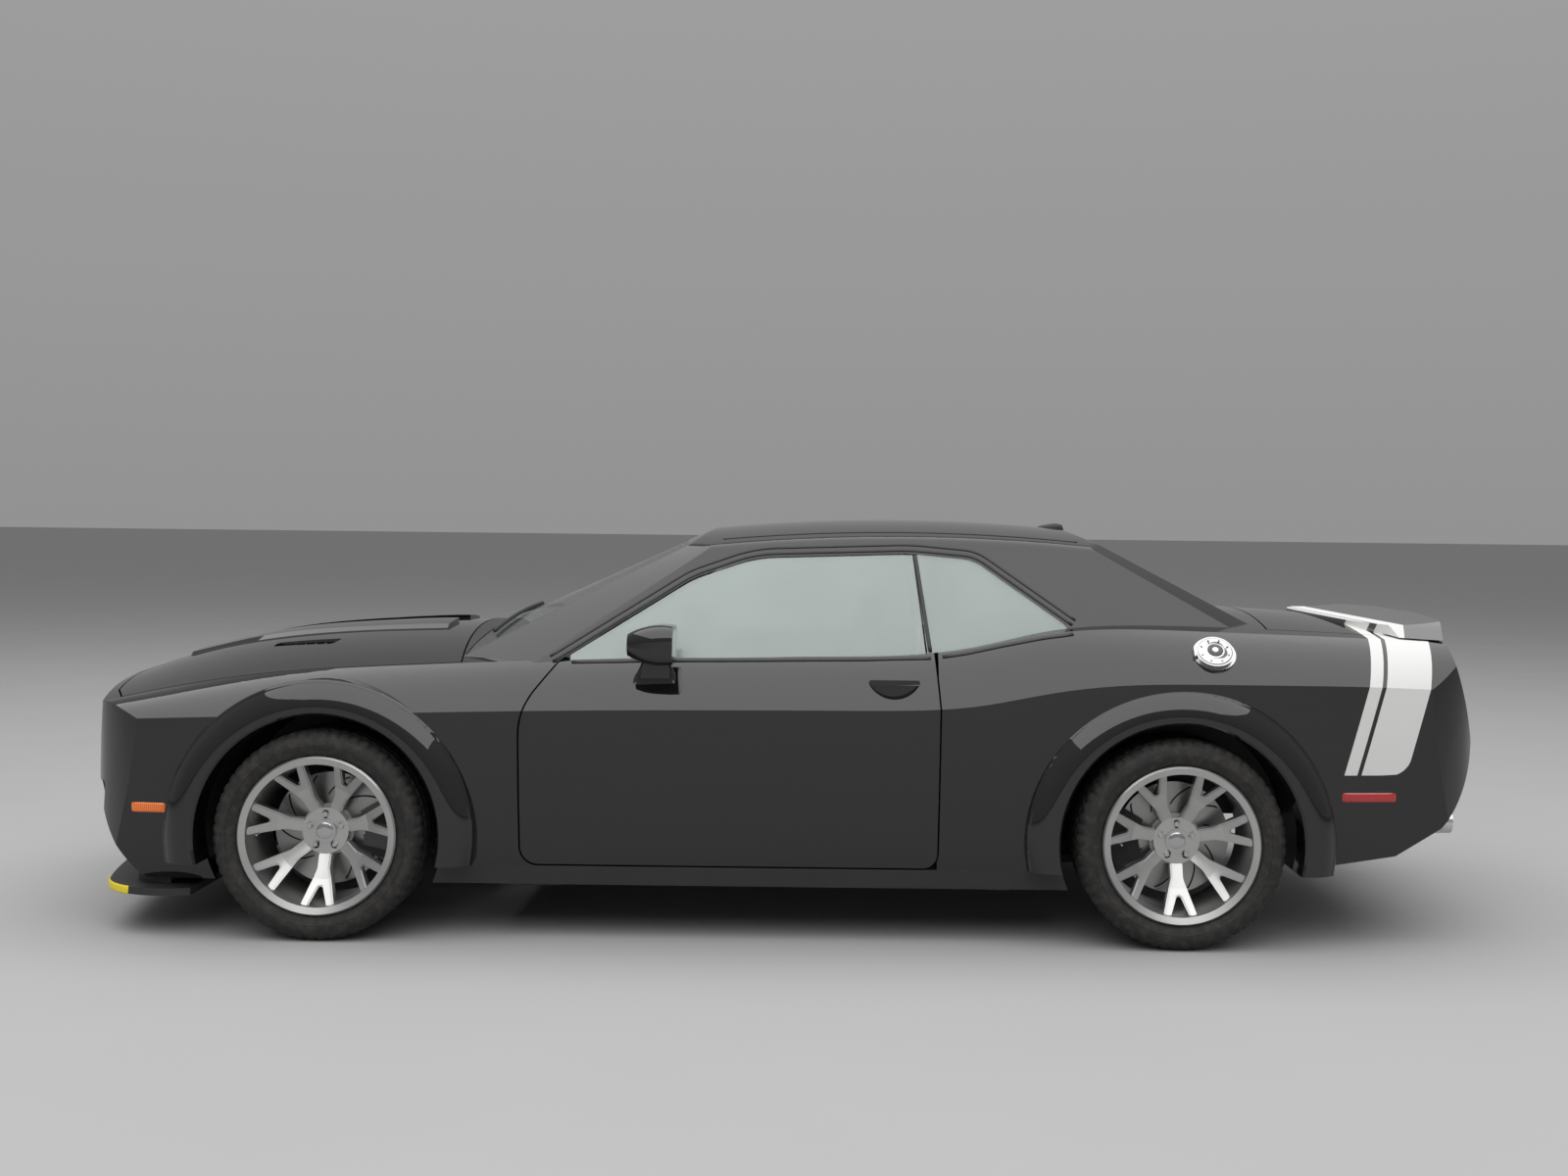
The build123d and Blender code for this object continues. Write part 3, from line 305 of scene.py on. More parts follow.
def makeIron():
    look = Look("cast underbody metal", {"Metallic": 0.55})
    cast = look.noise(look.place(), 120.0, 5.0)
    rusty = look.noise(look.place(), 9.0, 5.0).above(0.62, 0.2) * 0.5
    look.put("Base Color", look.blend(rusty, (0.050, 0.050, 0.052), (0.085, 0.060, 0.045)))
    look.put("Roughness", 0.55 + cast * 0.2)
    look.bump(cast, 0.0015, 0.3)
    return look


def makeCarpet():
    look = Look("cabin carpet and underseal", {})
    pile = look.noise(look.place(), 900.0, 2.0)
    look.put("Base Color", look.blend(pile, (0.012, 0.012, 0.013), (0.030, 0.030, 0.031)))
    look.put("Roughness", 0.85 + pile * 0.1)
    look.bump(pile, 0.002, 0.6)
    return look


def makeSteel():
    look = Look("exhaust steel", {"Metallic": 1.0})
    x, y, z = look.axes(look.place())
    heat = look.noise(look.place(), 6.0, 4.0)
    tip = 1 - x.above(-2.26)
    colour = look.blend(heat, (0.24, 0.22, 0.20), (0.36, 0.34, 0.31))
    look.put("Base Color", look.blend(tip, colour, (0.70, 0.70, 0.71)))
    look.put("Roughness", 0.42 - tip * 0.28 + heat * 0.08)
    return look


def makeChrome():
    look = Look("bright chrome", {"Metallic": 1.0})
    smear = look.noise(look.place(), 30.0, 3.0)
    look.put("Base Color", look.blend(smear, (0.46, 0.46, 0.465), (0.51, 0.51, 0.515)))
    look.put("Roughness", 0.10 + smear * 0.08)
    return look


def makePolished(name, colour, metal, base):
    look = Look(name, {"Metallic": metal, "Coat Weight": 1.0 - metal})
    smear = look.noise(look.place(), 25.0, 4.0)
    look.put("Base Color", look.blend(smear, colour, scaled(colour, 1.12)))
    look.put("Roughness", base + smear * 0.04)
    return look


lampGloss = {"Coat Weight": 1.0, "Coat Roughness": 0.01, "Emission Strength": 1.0}
headLamp = {"centres": (0.450, 0.590), "height": 0.706, "ring": (0.042, 0.050), "eye": 0.022}


def makeHeadLamp():
    look = Look("head lamp lens", lampGloss | {"Roughness": 0.12})
    x, y, z = look.axes(look.place())
    side = abs(y)
    inner, outer = headLamp["centres"]
    dy = side - (side.above((inner + outer) / 2) * (outer - inner) + inner)
    dz = z - headLamp["height"]
    radius = (dy * dy + dz * dz).root()
    ring = radius.between(*headLamp["ring"])
    eye = 1 - radius.above(headLamp["eye"], 0.004)
    flutes = (radius * 900.0).sine() * 0.5 + 0.5
    dark = look.blend(flutes, (0.03, 0.03, 0.032), (0.10, 0.10, 0.105))
    ringed = look.blend(ring, dark, (0.85, 0.86, 0.88))
    look.put("Base Color", look.blend(eye, ringed, (0.55, 0.58, 0.62)))
    look.put("Emission Color", look.blend(ring, (0, 0, 0), (0.55, 0.56, 0.58)))
    look.put("Metallic", eye * 0.6)
    return look


tailLamp = {"middle": 0.469, "halfWide": 0.231, "height": 0.8485, "halfTall": 0.0565}


def makeTailLamp():
    look = Look("tail lamp lens", lampGloss | {"Roughness": 0.2})
    x, y, z = look.axes(look.place())
    inY = abs(abs(y) - tailLamp["middle"]) - tailLamp["halfWide"]
    inZ = abs(z - tailLamp["height"]) - tailLamp["halfTall"]
    edge = inY.most(inZ)
    ring = edge.between(-0.030, -0.014)
    ribs = (y * 500.0).sine() * 0.5 + 0.5
    red = look.blend(ribs, (0.075, 0.003, 0.004), (0.15, 0.006, 0.008))
    look.put("Base Color", look.blend(ring, red, (0.60, 0.02, 0.02)))
    look.put("Emission Color", look.blend(ring, (0.01, 0, 0), (0.32, 0.008, 0.008)))
    return look


def makeMesh(name, scale):  # black honeycomb behind an opening
    look = Look(name, {"IOR": 1.45})
    x, y, z = look.axes(look.place())
    flat = look.vector(y, z, x * 0.25)
    edges = look.cells(flat, scale, "DISTANCE_TO_EDGE")
    wall = 1 - edges.above(0.10, 0.05)
    # the holes between the walls are painted near-black: painted shade behind the honeycomb
    look.put("Base Color", look.blend(wall, (0.002, 0.002, 0.002), (0.030, 0.030, 0.031)))
    look.put("Roughness", 0.75 - wall * 0.35)
    look.bump(wall, 0.006, 0.8)
    return look


def makeLens(name, colour, glow=0.0):
    look = Look(name, lampGloss | {"Coat Roughness": 0.02, "Roughness": 0.25, "Emission Strength": glow})
    x, y, z = look.axes(look.place())
    ribs = (x * 900.0).sine() * 0.5 + 0.5
    tint = look.blend(ribs, colour, scaled(colour, 0.62))
    look.put("Base Color", tint)
    look.put("Emission Color", tint)
    return look


paint = makePaint()
plainPaint = makePlainPaint()
spoilerPaint = makeSpoilerPaint()
sideGlass = makeGlass("green side glass", (0.42, 0.49, 0.46), 0.46)
screenPane = makeGlass("clear screen glass", (0.16, 0.19, 0.18), 0.26)
rubber = makeRubber()
rimSilver = makeRimSilver()
discSteel = makeDisc()
knuckleLook = makeKnuckle()
trim = makeTrim()
satinBlack = makeTrim("satin black plastic", (0.045, 0.045, 0.047), 0.30)
softDash = makeTrim("soft dash skin", (0.022, 0.022, 0.023), 0.55)
seatLeather = makeLeather("seat leather", (0.016, 0.016, 0.017))
wheelLeather = makeLeather("steering wheel leather", (0.014, 0.014, 0.015))
iron = makeIron()
carpet = makeCarpet()
steel = makeSteel()
chrome = makeChrome()
headLens = makeHeadLamp()
tailLens = makeTailLamp()
grilleMesh = makeMesh("grille honeycomb", 85.0)
amberLens = makeLens("amber marker lens", (0.80, 0.16, 0.01), 0.25)
redLens = makeLens("red marker lens", (0.42, 0.008, 0.010), 0.15)
guardYellow = makeTrim("yellow edge guard", (0.62, 0.50, 0.02), 0.40)
mirrorGlass = makePolished("mirror glass", (0.68, 0.71, 0.72), 1.0, 0.02)
screenGlass = makePolished("dark screen glass", (0.004, 0.004, 0.005), 0.0, 0.07)

dressing = {
    paint: ["left_quarter", "right_quarter", "trunk_lid"],
    plainPaint: ["hood", "left_door", "right_door", "left_fender", "right_fender", "front_bumper",
                 "rear_bumper", "rear_deck", "tail_panel", "flares", "left_mirror", "right_mirror", "roof"],
    sideGlass: ["left_door_glass", "right_door_glass", "quarter_windows"],
    screenPane: ["windshield", "rear_window"],
    spoilerPaint: ["spoiler"],
    trim: ["cowl", "posts", "sills", "lid_strips", "diffuser", "splitter", "front_liners", "rear_liners"],
    grilleMesh: ["grille"],
    softDash: ["dashboard"],
    wheelLeather: ["steering_wheel"],
    seatLeather: ["front_seats", "rear_seat"],
    headLens: ["headlamps"],
    tailLens: ["tail_lamps"],
    carpet: ["floor_pan"],
    iron: ["front_suspension", "engine", "rear_axle"],
    knuckleLook: ["left_knuckle", "right_knuckle"],
    steel: ["exhaust"],
    chrome: ["fuel_bezel", "fuel_lid"],
}
for corner in ("fl", "fr", "rl", "rr"):
    dressing.setdefault(rimSilver, []).append(corner + "_rim")
    dressing.setdefault(rubber, []).append(corner + "_tyre")
    dressing.setdefault(discSteel, []).append(corner + "_disc")
for look, names in dressing.items():
    for name in names:
        mesh = nodes[name].data
        mesh.materials.clear()
        mesh.materials.append(look.material)
print("materials set on", sum(len(names) for names in dressing.values()), "nodes")


hands = {"left": 1, "right": -1}
rayStart = 2.0   # rays towards a skin start at this distance


def piece(name, points, faces, look, body, smooth=True, levels=0):
    mesh = bpy.data.meshes.new(name)
    mesh.from_pydata([tuple(p) for p in points], [], faces)
    mesh.validate()
    mesh.materials.append(look.material)
    made = bpy.data.objects.new(name, mesh)
    bpy.context.scene.collection.objects.link(made)
    if smooth:
        mesh.shade_smooth()
    if levels:
        made.modifiers.new("rounding", "SUBSURF").levels = levels
        made.modifiers["rounding"].render_levels = levels
    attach(made, body)
    return made


def skinOf(*names):
    points, faces = [], []
    for name in names:
        start = len(points)
        mesh = nodes[name].data
        points += [v.co.copy() for v in mesh.vertices]
        faces += [[start + i for i in p.vertices] for p in mesh.polygons]
    return BVHTree.FromPolygons(points, faces)


def touch(skin, start, way):  # first point and normal of a skin along a line
    hit, normal, index, reach = skin.ray_cast(Vector(start), Vector(way).normalized())
    if hit is None:
        return None, None
    if normal.dot(Vector(way)) > 0:
        normal = -normal
    return hit, normal


def fromSide(skin, x, z, side):
    return touch(skin, (x, side * rayStart, z), (0, -side, 0))


def fromAbove(skin, x, y):
    return touch(skin, (x, y, rayStart), (0, 0, -1))


def mix(ends, t):
    return ends[0] + (ends[1] - ends[0]) * t


def roundPath(corners, step=0.02):  # corners as (a, b, radius), open path
    out = [Vector(corners[0][:2])]
    for k in range(1, len(corners) - 1):
        p = Vector(corners[k][:2])
        ua = (Vector(corners[k - 1][:2]) - p).normalized()
        ub = (Vector(corners[k + 1][:2]) - p).normalized()
        half = math.acos(max(-1, min(1, ua.dot(ub)))) / 2
        reach = corners[k][2] / math.tan(half)
        start, stop = p + ua * reach, p + ub * reach
        for i in range(9):
            t = i / 8
            out.append((1 - t) ** 2 * start + 2 * t * (1 - t) * p + t * t * stop)
    out.append(Vector(corners[-1][:2]))
    dense = [out[0]]
    for a, b in zip(out, out[1:]):
        parts = max(1, int((b - a).length / step))
        dense += [a + (b - a) * i / parts for i in range(1, parts + 1)]
    return dense


def bead(name, path, normals, wide, tall, look, body, slot, sides=10):  # rounded strip laid on a skin
    points, faces = [], []
    count = len(path)
    for k in range(count):
        along = (path[min(k + 1, count - 1)] - path[max(k - 1, 0)]).normalized()
        up = (normals[k] - along * normals[k].dot(along)).normalized()
        across = along.cross(up)
        for s in range(sides):
            angle = 2 * math.pi * s / sides
            c, n = math.cos(angle), math.sin(angle)
            squareC = math.copysign(abs(c) ** 0.6, c)
            squareN = math.copysign(abs(n) ** 0.6, n)
            points.append(path[k] + across * (squareC * wide / 2) + up * (squareN * tall / 2))
    for k in range(count - 1):
        for s in range(sides):
            a, b = k * sides + s, k * sides + (s + 1) % sides
            faces.append((a, a + sides, b + sides, b))
    faces.append(tuple(range(sides)))
    faces.append(tuple(reversed(range((count - 1) * sides, count * sides))))
    return piece(name, points, faces, look, body)


def lathe(profile, count, change):  # closed profile of (radius, y) round the y axis
    points, faces = [], []
    rings = len(profile)
    for k in range(count):
        angle = 2 * math.pi * k / count
        for i, (radius, y) in enumerate(profile):
            r = radius + change(k, i)
            points.append(Vector((r * math.sin(angle), y, r * math.cos(angle))))
    for k in range(count):
        for i in range(rings):
            a, b = k * rings + i, k * rings + (i + 1) % rings
            c, d = ((k + 1) % count) * rings + (i + 1) % rings, ((k + 1) % count) * rings + i
            faces.append((a, d, c, b))
    return points, faces


corners = {
    "fl": (wheelCentres["front"], 1), "fr": (wheelCentres["front"], -1),
    "rl": (wheelCentres["rear"], 1), "rr": (wheelCentres["rear"], -1),
}


def atWheel(points, corner):
    x, side = corners[corner]
    centre = Vector((x, side * wheelCentres["side"], wheelCentres["height"]))
    if side > 0:
        return [centre + p for p in points]
    return [centre + Vector((-p.x, -p.y, p.z)) for p in points]


tyre = {
    "segments": 240, "blocks": 60, "grooveDepth": 0.0065, "slotDepth": 0.0045,
    "grooves": (0.078, 0.027, -0.027, -0.078), "grooveHalf": 0.0055, "grooveLean": 0.0015,
    "radius": 0.3598, "halfTread": 0.116, "shoulder": (0.082, 0.345), "rib": 0.074, "ribShare": 0.6,
    "side": [  # radius and distance from the middle, bead to shoulder
        (0.2725, 0.131), (0.279, 0.1385), (0.288, 0.1435), (0.300, 0.1490), (0.3045, 0.1512), (0.3065, 0.1500),
        (0.3085, 0.1518), (0.317, 0.1523), (0.328, 0.1498), (0.3385, 0.1455), (0.346, 0.1385), (0.352, 0.1315),
        (0.3562, 0.1235),
    ],
    "inside": [(0.2505, -0.06), (0.2465, 0.0), (0.2505, 0.06)],
}


def buildTyres():
    top, floor = tyre["radius"], tyre["radius"] - tyre["grooveDepth"]
    half = tyre["side"] + [(top - 0.0012, tyre["halfTread"])]
    tread = []
    for y in tyre["grooves"]:
        wall, foot = tyre["grooveHalf"], tyre["grooveHalf"] - tyre["grooveLean"]
        tread += [(top, y + wall), (floor, y + foot), (floor, y - foot), (top, y - wall)]
    profile = half + tread + [(r, -y) for r, y in reversed(half)] + tyre["inside"]
    per = tyre["segments"] // tyre["blocks"]
    shoulderY, shoulderR = tyre["shoulder"]
    wide = {i for i, (r, y) in enumerate(profile) if abs(y) > shoulderY and r > shoulderR}
    ribs = {i for i, (r, y) in enumerate(profile) if abs(y) < tyre["rib"] and r > top - 0.001}

    def notch(k, i):
        if i in wide and k % per == 0:
            return -tyre["slotDepth"]
        if i in ribs and (k + 2) % per == 0:
            return -tyre["slotDepth"] * tyre["ribShare"]
        return 0.0

    points, faces = lathe(profile, tyre["segments"], notch)
    for corner in corners:
        made = piece(corner + "Tyre", atWheel(points, corner), faces, rubber, corner + "_wheel")
        made.data.set_sharp_from_angle(angle=math.radians(38))
        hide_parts(corner + "_tyre")


buildTyres()
print("tyres built")

nuts = {
    "count": 5, "circle": 0.0575, "radius": 0.0108, "seat": 0.0148, "foot": 0.0105, "head": 0.037,
    "cap": [(0.0295, 0.0362), (0.0295, 0.0385), (0.0272, 0.0400), (0.012, 0.0412)],  # plain, at the hub
    "valve": [(0.004, 0.104), (0.004, 0.132), (0.003, 0.134)], "valveAt": 0.205,
}


def addRings(shape, cx, cz, rings, sides, twist=0.0):  # rings of (radius, y) round a line along y
    points, faces = shape
    start = len(points)
    for radius, y in rings:
        for s in range(sides):
            angle = 2 * math.pi * s / sides + twist
            points.append(Vector((cx + radius * math.sin(angle), y, cz + radius * math.cos(angle))))
    for r in range(len(rings) - 1):
        for s in range(sides):
            a, b = start + r * sides + s, start + r * sides + (s + 1) % sides
            faces.append((a, a + sides, b + sides, b))
    top = start + (len(rings) - 1) * sides
    faces.append(tuple(range(start, start + sides)))
    faces.append(tuple(reversed(range(top, top + sides))))


def buildNuts():
    bright, dark = ([], []), ([], [])
    r, foot, head = nuts["radius"], nuts["foot"], nuts["head"]
    for k in range(nuts["count"]):
        angle = 2 * math.pi * k / nuts["count"]
        cx, cz = nuts["circle"] * math.sin(angle), nuts["circle"] * math.cos(angle)
        addRings(bright, cx, cz, [(r * 1.12, foot + 0.002), (r * 1.12, foot + 0.005), (r, foot + 0.007)], 24)
        addRings(bright, cx, cz, [(r, foot + 0.005), (r, head - 0.004), (r * 0.82, head)], 6, k)
        addRings(dark, cx, cz, [(nuts["seat"], foot), (nuts["seat"], foot + 0.001), (r, foot + 0.0025)], 32)
    addRings(bright, 0, 0, nuts["cap"], 48)
    addRings(bright, nuts["valveAt"], 0, nuts["valve"], 12)
    for corner in corners:
        body = corner + "_wheel"
        made = piece(corner + "Nuts", atWheel(bright[0], corner), bright[1], chrome, body)
        made.data.set_sharp_from_angle(angle=math.radians(30))
        piece(corner + "NutSeats", atWheel(dark[0], corner), dark[1], trim, body)


buildNuts()
print("wheel nuts and caps built")

windowTrim = {
    "top": [(0.800, 0.950, 0), (0.330, 1.250, 0.33), (0.110, 1.328, 0.50), (-0.446, 1.348, 0.90),
            (-0.676, 1.328, 0.15), (-1.016, 1.092, 0)],
    "belt": [(0.735, 0.9625), (0.5, 0.9695), (0.3, 0.9735), (0.1, 0.9768), (-0.1, 0.9805), (-0.3, 0.9838),
             (-0.515, 0.991)],
    "hind": [(-0.555, 0.996), (-0.64, 1.009), (-0.76, 1.035), (-0.90, 1.063), (-1.012, 1.0785)],
    "split": [(-0.462, 1.338), (-0.514, 1.000)],
    "inner": (0.010, 0.008), "outer": (0.009, 0.007), "belted": (0.014, 0.009),  # width, height
    "gap": 0.004, "spread": 0.024, "drop": 0.010,
}


def densePath(points, step=0.03):
    out = [Vector(points[0])]
    for a, b in zip(points, points[1:]):
        a, b = Vector(a), Vector(b)
        parts = max(1, int((b - a).length / step))
        out += [a + (b - a) * i / parts for i in range(1, parts + 1)]
    return out


def layOnSide(skin, flatPath, side):
    path, normals = [], []
    for p in flatPath:
        hit, normal = fromSide(skin, p.x, p.y, side)
        if hit is not None and abs(hit.y) > 0.4 and hit.y * side > 0:
            path.append(hit)
            normals.append(normal)
    return path, normals


def pushOut(flatPath, away):  # flat path moved to its upper side
    moved = []
    for k, p in enumerate(flatPath):
        along = flatPath[min(k + 1, len(flatPath) - 1)] - flatPath[max(k - 1, 0)]
        out = Vector((along.y, -along.x)).normalized()
        moved.append(p + (out if out.y > 0 else -out) * away)
    return moved


def buildWindowTrim():
    for label, side in hands.items():
        roofSkin = skinOf("roof")
        doorSkin = skinOf(label + "_door")
        hindSkin = skinOf(label + "_quarter")
        top = roundPath(windowTrim["top"])
        for name, away, size in (("InnerTrim", "gap", "inner"), ("OuterTrim", "spread", "outer")):
            path, normals = layOnSide(roofSkin, pushOut(top, windowTrim[away]), side)
            bead(label + name, path, normals, *windowTrim[size], trim, "body", "black_trim")
        path, normals = layOnSide(skinOf("quarter_windows"), densePath(windowTrim["split"], 0.02), side)
        bead(label + "PostTrim", path, normals, *windowTrim["belted"], trim, "body", "black_trim")
        for name, points, skin, body in (
                ("BeltTrim", windowTrim["belt"], doorSkin, label + "_door"),
                ("HindTrim", windowTrim["hind"], hindSkin, "body")):
            flat = [Vector((p.x, p.y - windowTrim["drop"])) for p in densePath(points)]
            path, normals = layOnSide(skin, flat, side)
            bead(label + name, path, normals, *windowTrim["belted"], trim, body, "black_trim")


buildWindowTrim()
print("window trim built")


markers = {
    "front": ((2.120, 2.245), (0.421, 0.456)), "rear": ((-2.125, -1.930), (0.506, 0.540)),  # x and z ranges
    "rise": 0.006, "sink": 0.001, "grid": (26, 8),
}


def lens(name, skin, xs, zs, side, look):  # domed lens on a side
    rise, sink, columns, rows = markers["rise"], markers["sink"], *markers["grid"]
    points, faces = [], []
    for i in range(columns + 1):
        for j in range(rows + 1):
            u, v = i / columns * 2 - 1, j / rows * 2 - 1
            u2 = u * math.sqrt(1 - 0.06 * v * v)
            hit, normal = fromSide(skin, mix(xs, u2 / 2 + 0.5), mix(zs, v / 2 + 0.5), side)
            dome = (1 - abs(u) ** 10) * (1 - abs(v) ** 6)
            points.append(hit + normal * (rise * dome - sink))
    for i in range(columns):
        for j in range(rows):
            a = i * (rows + 1) + j
            quad = (a, a + 1, a + rows + 2, a + rows + 1)
            faces.append(quad if side > 0 else tuple(reversed(quad)))
    piece(name, points, faces, look, "body")


def buildMarkers():
    for label, side in hands.items():
        lens(label + "FrontMarker", skinOf("front_bumper"), *markers["front"], side, amberLens)
        lens(label + "RearMarker", skinOf("rear_bumper"), *markers["rear"], side, redLens)


buildMarkers()
print("side markers built")

guard = {
    "edge": [(2.384, 0.700), (2.318, 0.838), (2.030, 0.903)],  # the splitter's rim, from above
    "low": 0.138, "high": 0.167, "thick": 0.008, "span": (0.0, 0.52),
}


def circleThrough(a, b, c):
    d = 2 * (a[0] * (b[1] - c[1]) + b[0] * (c[1] - a[1]) + c[0] * (a[1] - b[1]))
    sa, sb, sc = (p[0] ** 2 + p[1] ** 2 for p in (a, b, c))
    ux = (sa * (b[1] - c[1]) + sb * (c[1] - a[1]) + sc * (a[1] - b[1])) / d
    uy = (sa * (c[0] - b[0]) + sb * (a[0] - c[0]) + sc * (b[0] - a[0])) / d
    return Vector((ux, uy)), math.dist((ux, uy), a)


def buildGuards():
    centre, radius = circleThrough(*guard["edge"])
    first = math.atan2(guard["edge"][0][1] - centre.y, guard["edge"][0][0] - centre.x)
    last = math.atan2(guard["edge"][2][1] - centre.y, guard["edge"][2][0] - centre.x)
    for label, side in hands.items():
        path, normals = [], []
        for k in range(25):
            angle = mix((first, last), mix(guard["span"], k / 24))
            out = Vector((math.cos(angle), side * math.sin(angle), 0))
            middle = Vector((centre.x, side * centre.y, (guard["low"] + guard["high"]) / 2))
            path.append(middle + out * radius)
            normals.append(out)
        tall = guard["high"] - guard["low"]
        bead(label + "Guard", path, normals, tall, guard["thick"], guardYellow, "body", "black_trim")


buildGuards()
print("splitter guards built")

def disc(name, centre, normal, rings, look, body, sides=40, first=None):  # rings of (radius, height)
    normal = Vector(normal).normalized()
    first = first or normal.orthogonal().normalized()
    second = normal.cross(first)
    points, faces = [], []
    for radius, height in rings:
        for k in range(sides):
            angle = 2 * math.pi * k / sides
            out = first * math.cos(angle) + second * math.sin(angle)
            points.append(Vector(centre) + normal * height + out * radius)
    for r in range(len(rings) - 1):
        for k in range(sides):
            a, b = r * sides + k, r * sides + (k + 1) % sides
            faces.append((a, b, b + sides, a + sides))
    faces.append(tuple(reversed(range(sides))))
    faces.append(tuple(range((len(rings) - 1) * sides, len(rings) * sides)))
    return piece(name, points, faces, look, body)


fuel = {
    "centre": (-1.491, 0.887, 1.0082), "normal": (0, 0.714, 0.70), "lift": 0.0173,  # heights count from it
    "dish": [(0.060, -0.001), (0.060, 0.0015), (0.056, 0.003), (0.036, 0.0025), (0.034, 0.005), (0.030, 0.006)],
    "boss": [(0.027, 0.004), (0.027, 0.0075), (0.024, 0.009), (0.014, 0.0092)],
    "eye": [(0.012, 0.008), (0.012, 0.010), (0.010, 0.0108)],
    "bolt": [(0.0036, 0.0), (0.0036, 0.0042), (0.0028, 0.005)], "bolts": 8, "boltCircle": 0.049,
}


def buildFuelFace():
    normal = Vector(fuel["normal"]).normalized()
    along = Vector((1, 0, 0))
    across = normal.cross(along)

    def ring(name, part, look, slot, sides, at=Vector()):
        rings = [(radius, fuel["lift"] + height) for radius, height in fuel[part]]
        disc(name, Vector(fuel["centre"]) + at, normal, rings, look, "fuel_lid", sides, along)

    ring("fuelDish", "dish", chrome, "chrome", 72)
    ring("fuelBoss", "boss", satinBlack, "black_trim", 72)
    ring("fuelEye", "eye", chrome, "chrome", 40)
    for k in range(fuel["bolts"]):
        angle = 2 * math.pi * (k + 0.5) / fuel["bolts"]
        at = (along * math.cos(angle) + across * math.sin(angle)) * fuel["boltCircle"]
        ring("fuelBolt%d" % k, "bolt", steel, "steel", 12, at)


buildFuelFace()
print("fuel lid face built")

mirrorPane = {"x": 0.3655, "y": 0.965, "z": 1.026, "halfWide": 0.080, "halfTall": 0.052}


def buildMirrorPanes():
    for label, side in hands.items():
        points, faces = [], []
        rings, sides = 6, 48
        for r in range(rings + 1):
            share = 1 - r / rings
            for s in range(sides):
                angle = 2 * math.pi * s / sides
                c, n = math.cos(angle), math.sin(angle)
                wide = math.copysign(abs(c) ** 0.55, c) * mirrorPane["halfWide"] * max(share, 0.02)
                tall = math.copysign(abs(n) ** 0.55, n) * mirrorPane["halfTall"] * max(share, 0.02)
                x = mirrorPane["x"] - (0.0 if r == 0 else 0.0015 + 0.001 * (1 - share))
                points.append(Vector((x, side * (mirrorPane["y"] + wide), mirrorPane["z"] + tall)))
        for r in range(rings):
            for s in range(sides):
                a, b = r * sides + s, r * sides + (s + 1) % sides
                quad = (a, a + sides, b + sides, b)
                faces.append(quad if side > 0 else tuple(reversed(quad)))
        cap = tuple(rings * sides + s for s in range(sides))
        faces.append(cap if side < 0 else tuple(reversed(cap)))
        piece(label + "MirrorPane", points, faces, mirrorGlass, label + "_door")


buildMirrorPanes()
print("mirror panes built")

wipers = {
    "arms": (((1.055, 0.56), (0.985, -0.04)), ((1.060, 0.02), (0.975, -0.55))),
    "wide": 0.012, "tall": 0.014, "lift": 0.012,
}


def buildWipers():
    skin = skinOf("windshield", "cowl", "hood")
    for k, (start, stop) in enumerate(wipers["arms"]):
        path, normals = [], []
        for i in range(31):
            t = i / 30
            x, y = mix((start[0], stop[0]), t), mix((start[1], stop[1]), t)
            hit, normal = fromAbove(skin, x, y)
            if hit is not None:
                path.append(hit + normal * wipers["lift"])
                normals.append(normal)
        bead("wiperBlade%d" % k, path, normals, wipers["wide"], wipers["tall"], trim, "body", "black_trim")


buildWipers()
print("wipers built")

def padSizes(centre, lean, half, front, back, channels, bolster):
    return {"centre": centre, "lean": lean, "half": half, "front": front, "back": back, "channels": channels,
            "bolster": bolster}


seatPads = {  # centre as x and z, lean in degrees, half length and width, swell of face and rear
    "side": 0.395,
    "cushion": padSizes((0.115, 0.412), 5.0, (0.262, 0.243), 0.105, 0.080, 5, 0.034),
    "back": padSizes((-0.190, 0.705), 109.5, (0.285, 0.240), 0.085, 0.055, 6, 0.034),
    "head": padSizes((-0.312, 1.080), 104.0, (0.092, 0.136), 0.050, 0.045, 0, 0.0),
}
benchPads = {
    "side": 0.335,
    "cushion": padSizes((-0.755, 0.400), 174.5, (0.185, 0.240), 0.085, 0.10, 4, 0.02),
    "back": padSizes((-1.040, 0.700), 101.5, (0.255, 0.240), 0.065, 0.045, 5, 0.02),
}
padShape = {
    "size": 44, "waist": 0.035, "corner": 0.10, "bolsterEdge": (0.62, 0.2), "seam": (0.63, 0.022), "deep": 0.010,
}
seatBase = {
    "plinth": ((-0.11, 0.31), 0.205, (0.250, 0.352), 0.022),  # x range, half width, z range, edge radius
    "rail": ((-0.16, 0.35), 0.02, (0.2355, 0.268), 0.006), "railOff": 0.21,
    "post": ((-0.285, -0.345), 0.063, (0.90, 1.06), 0.012),  # x range, half spacing, z range, thickness
}


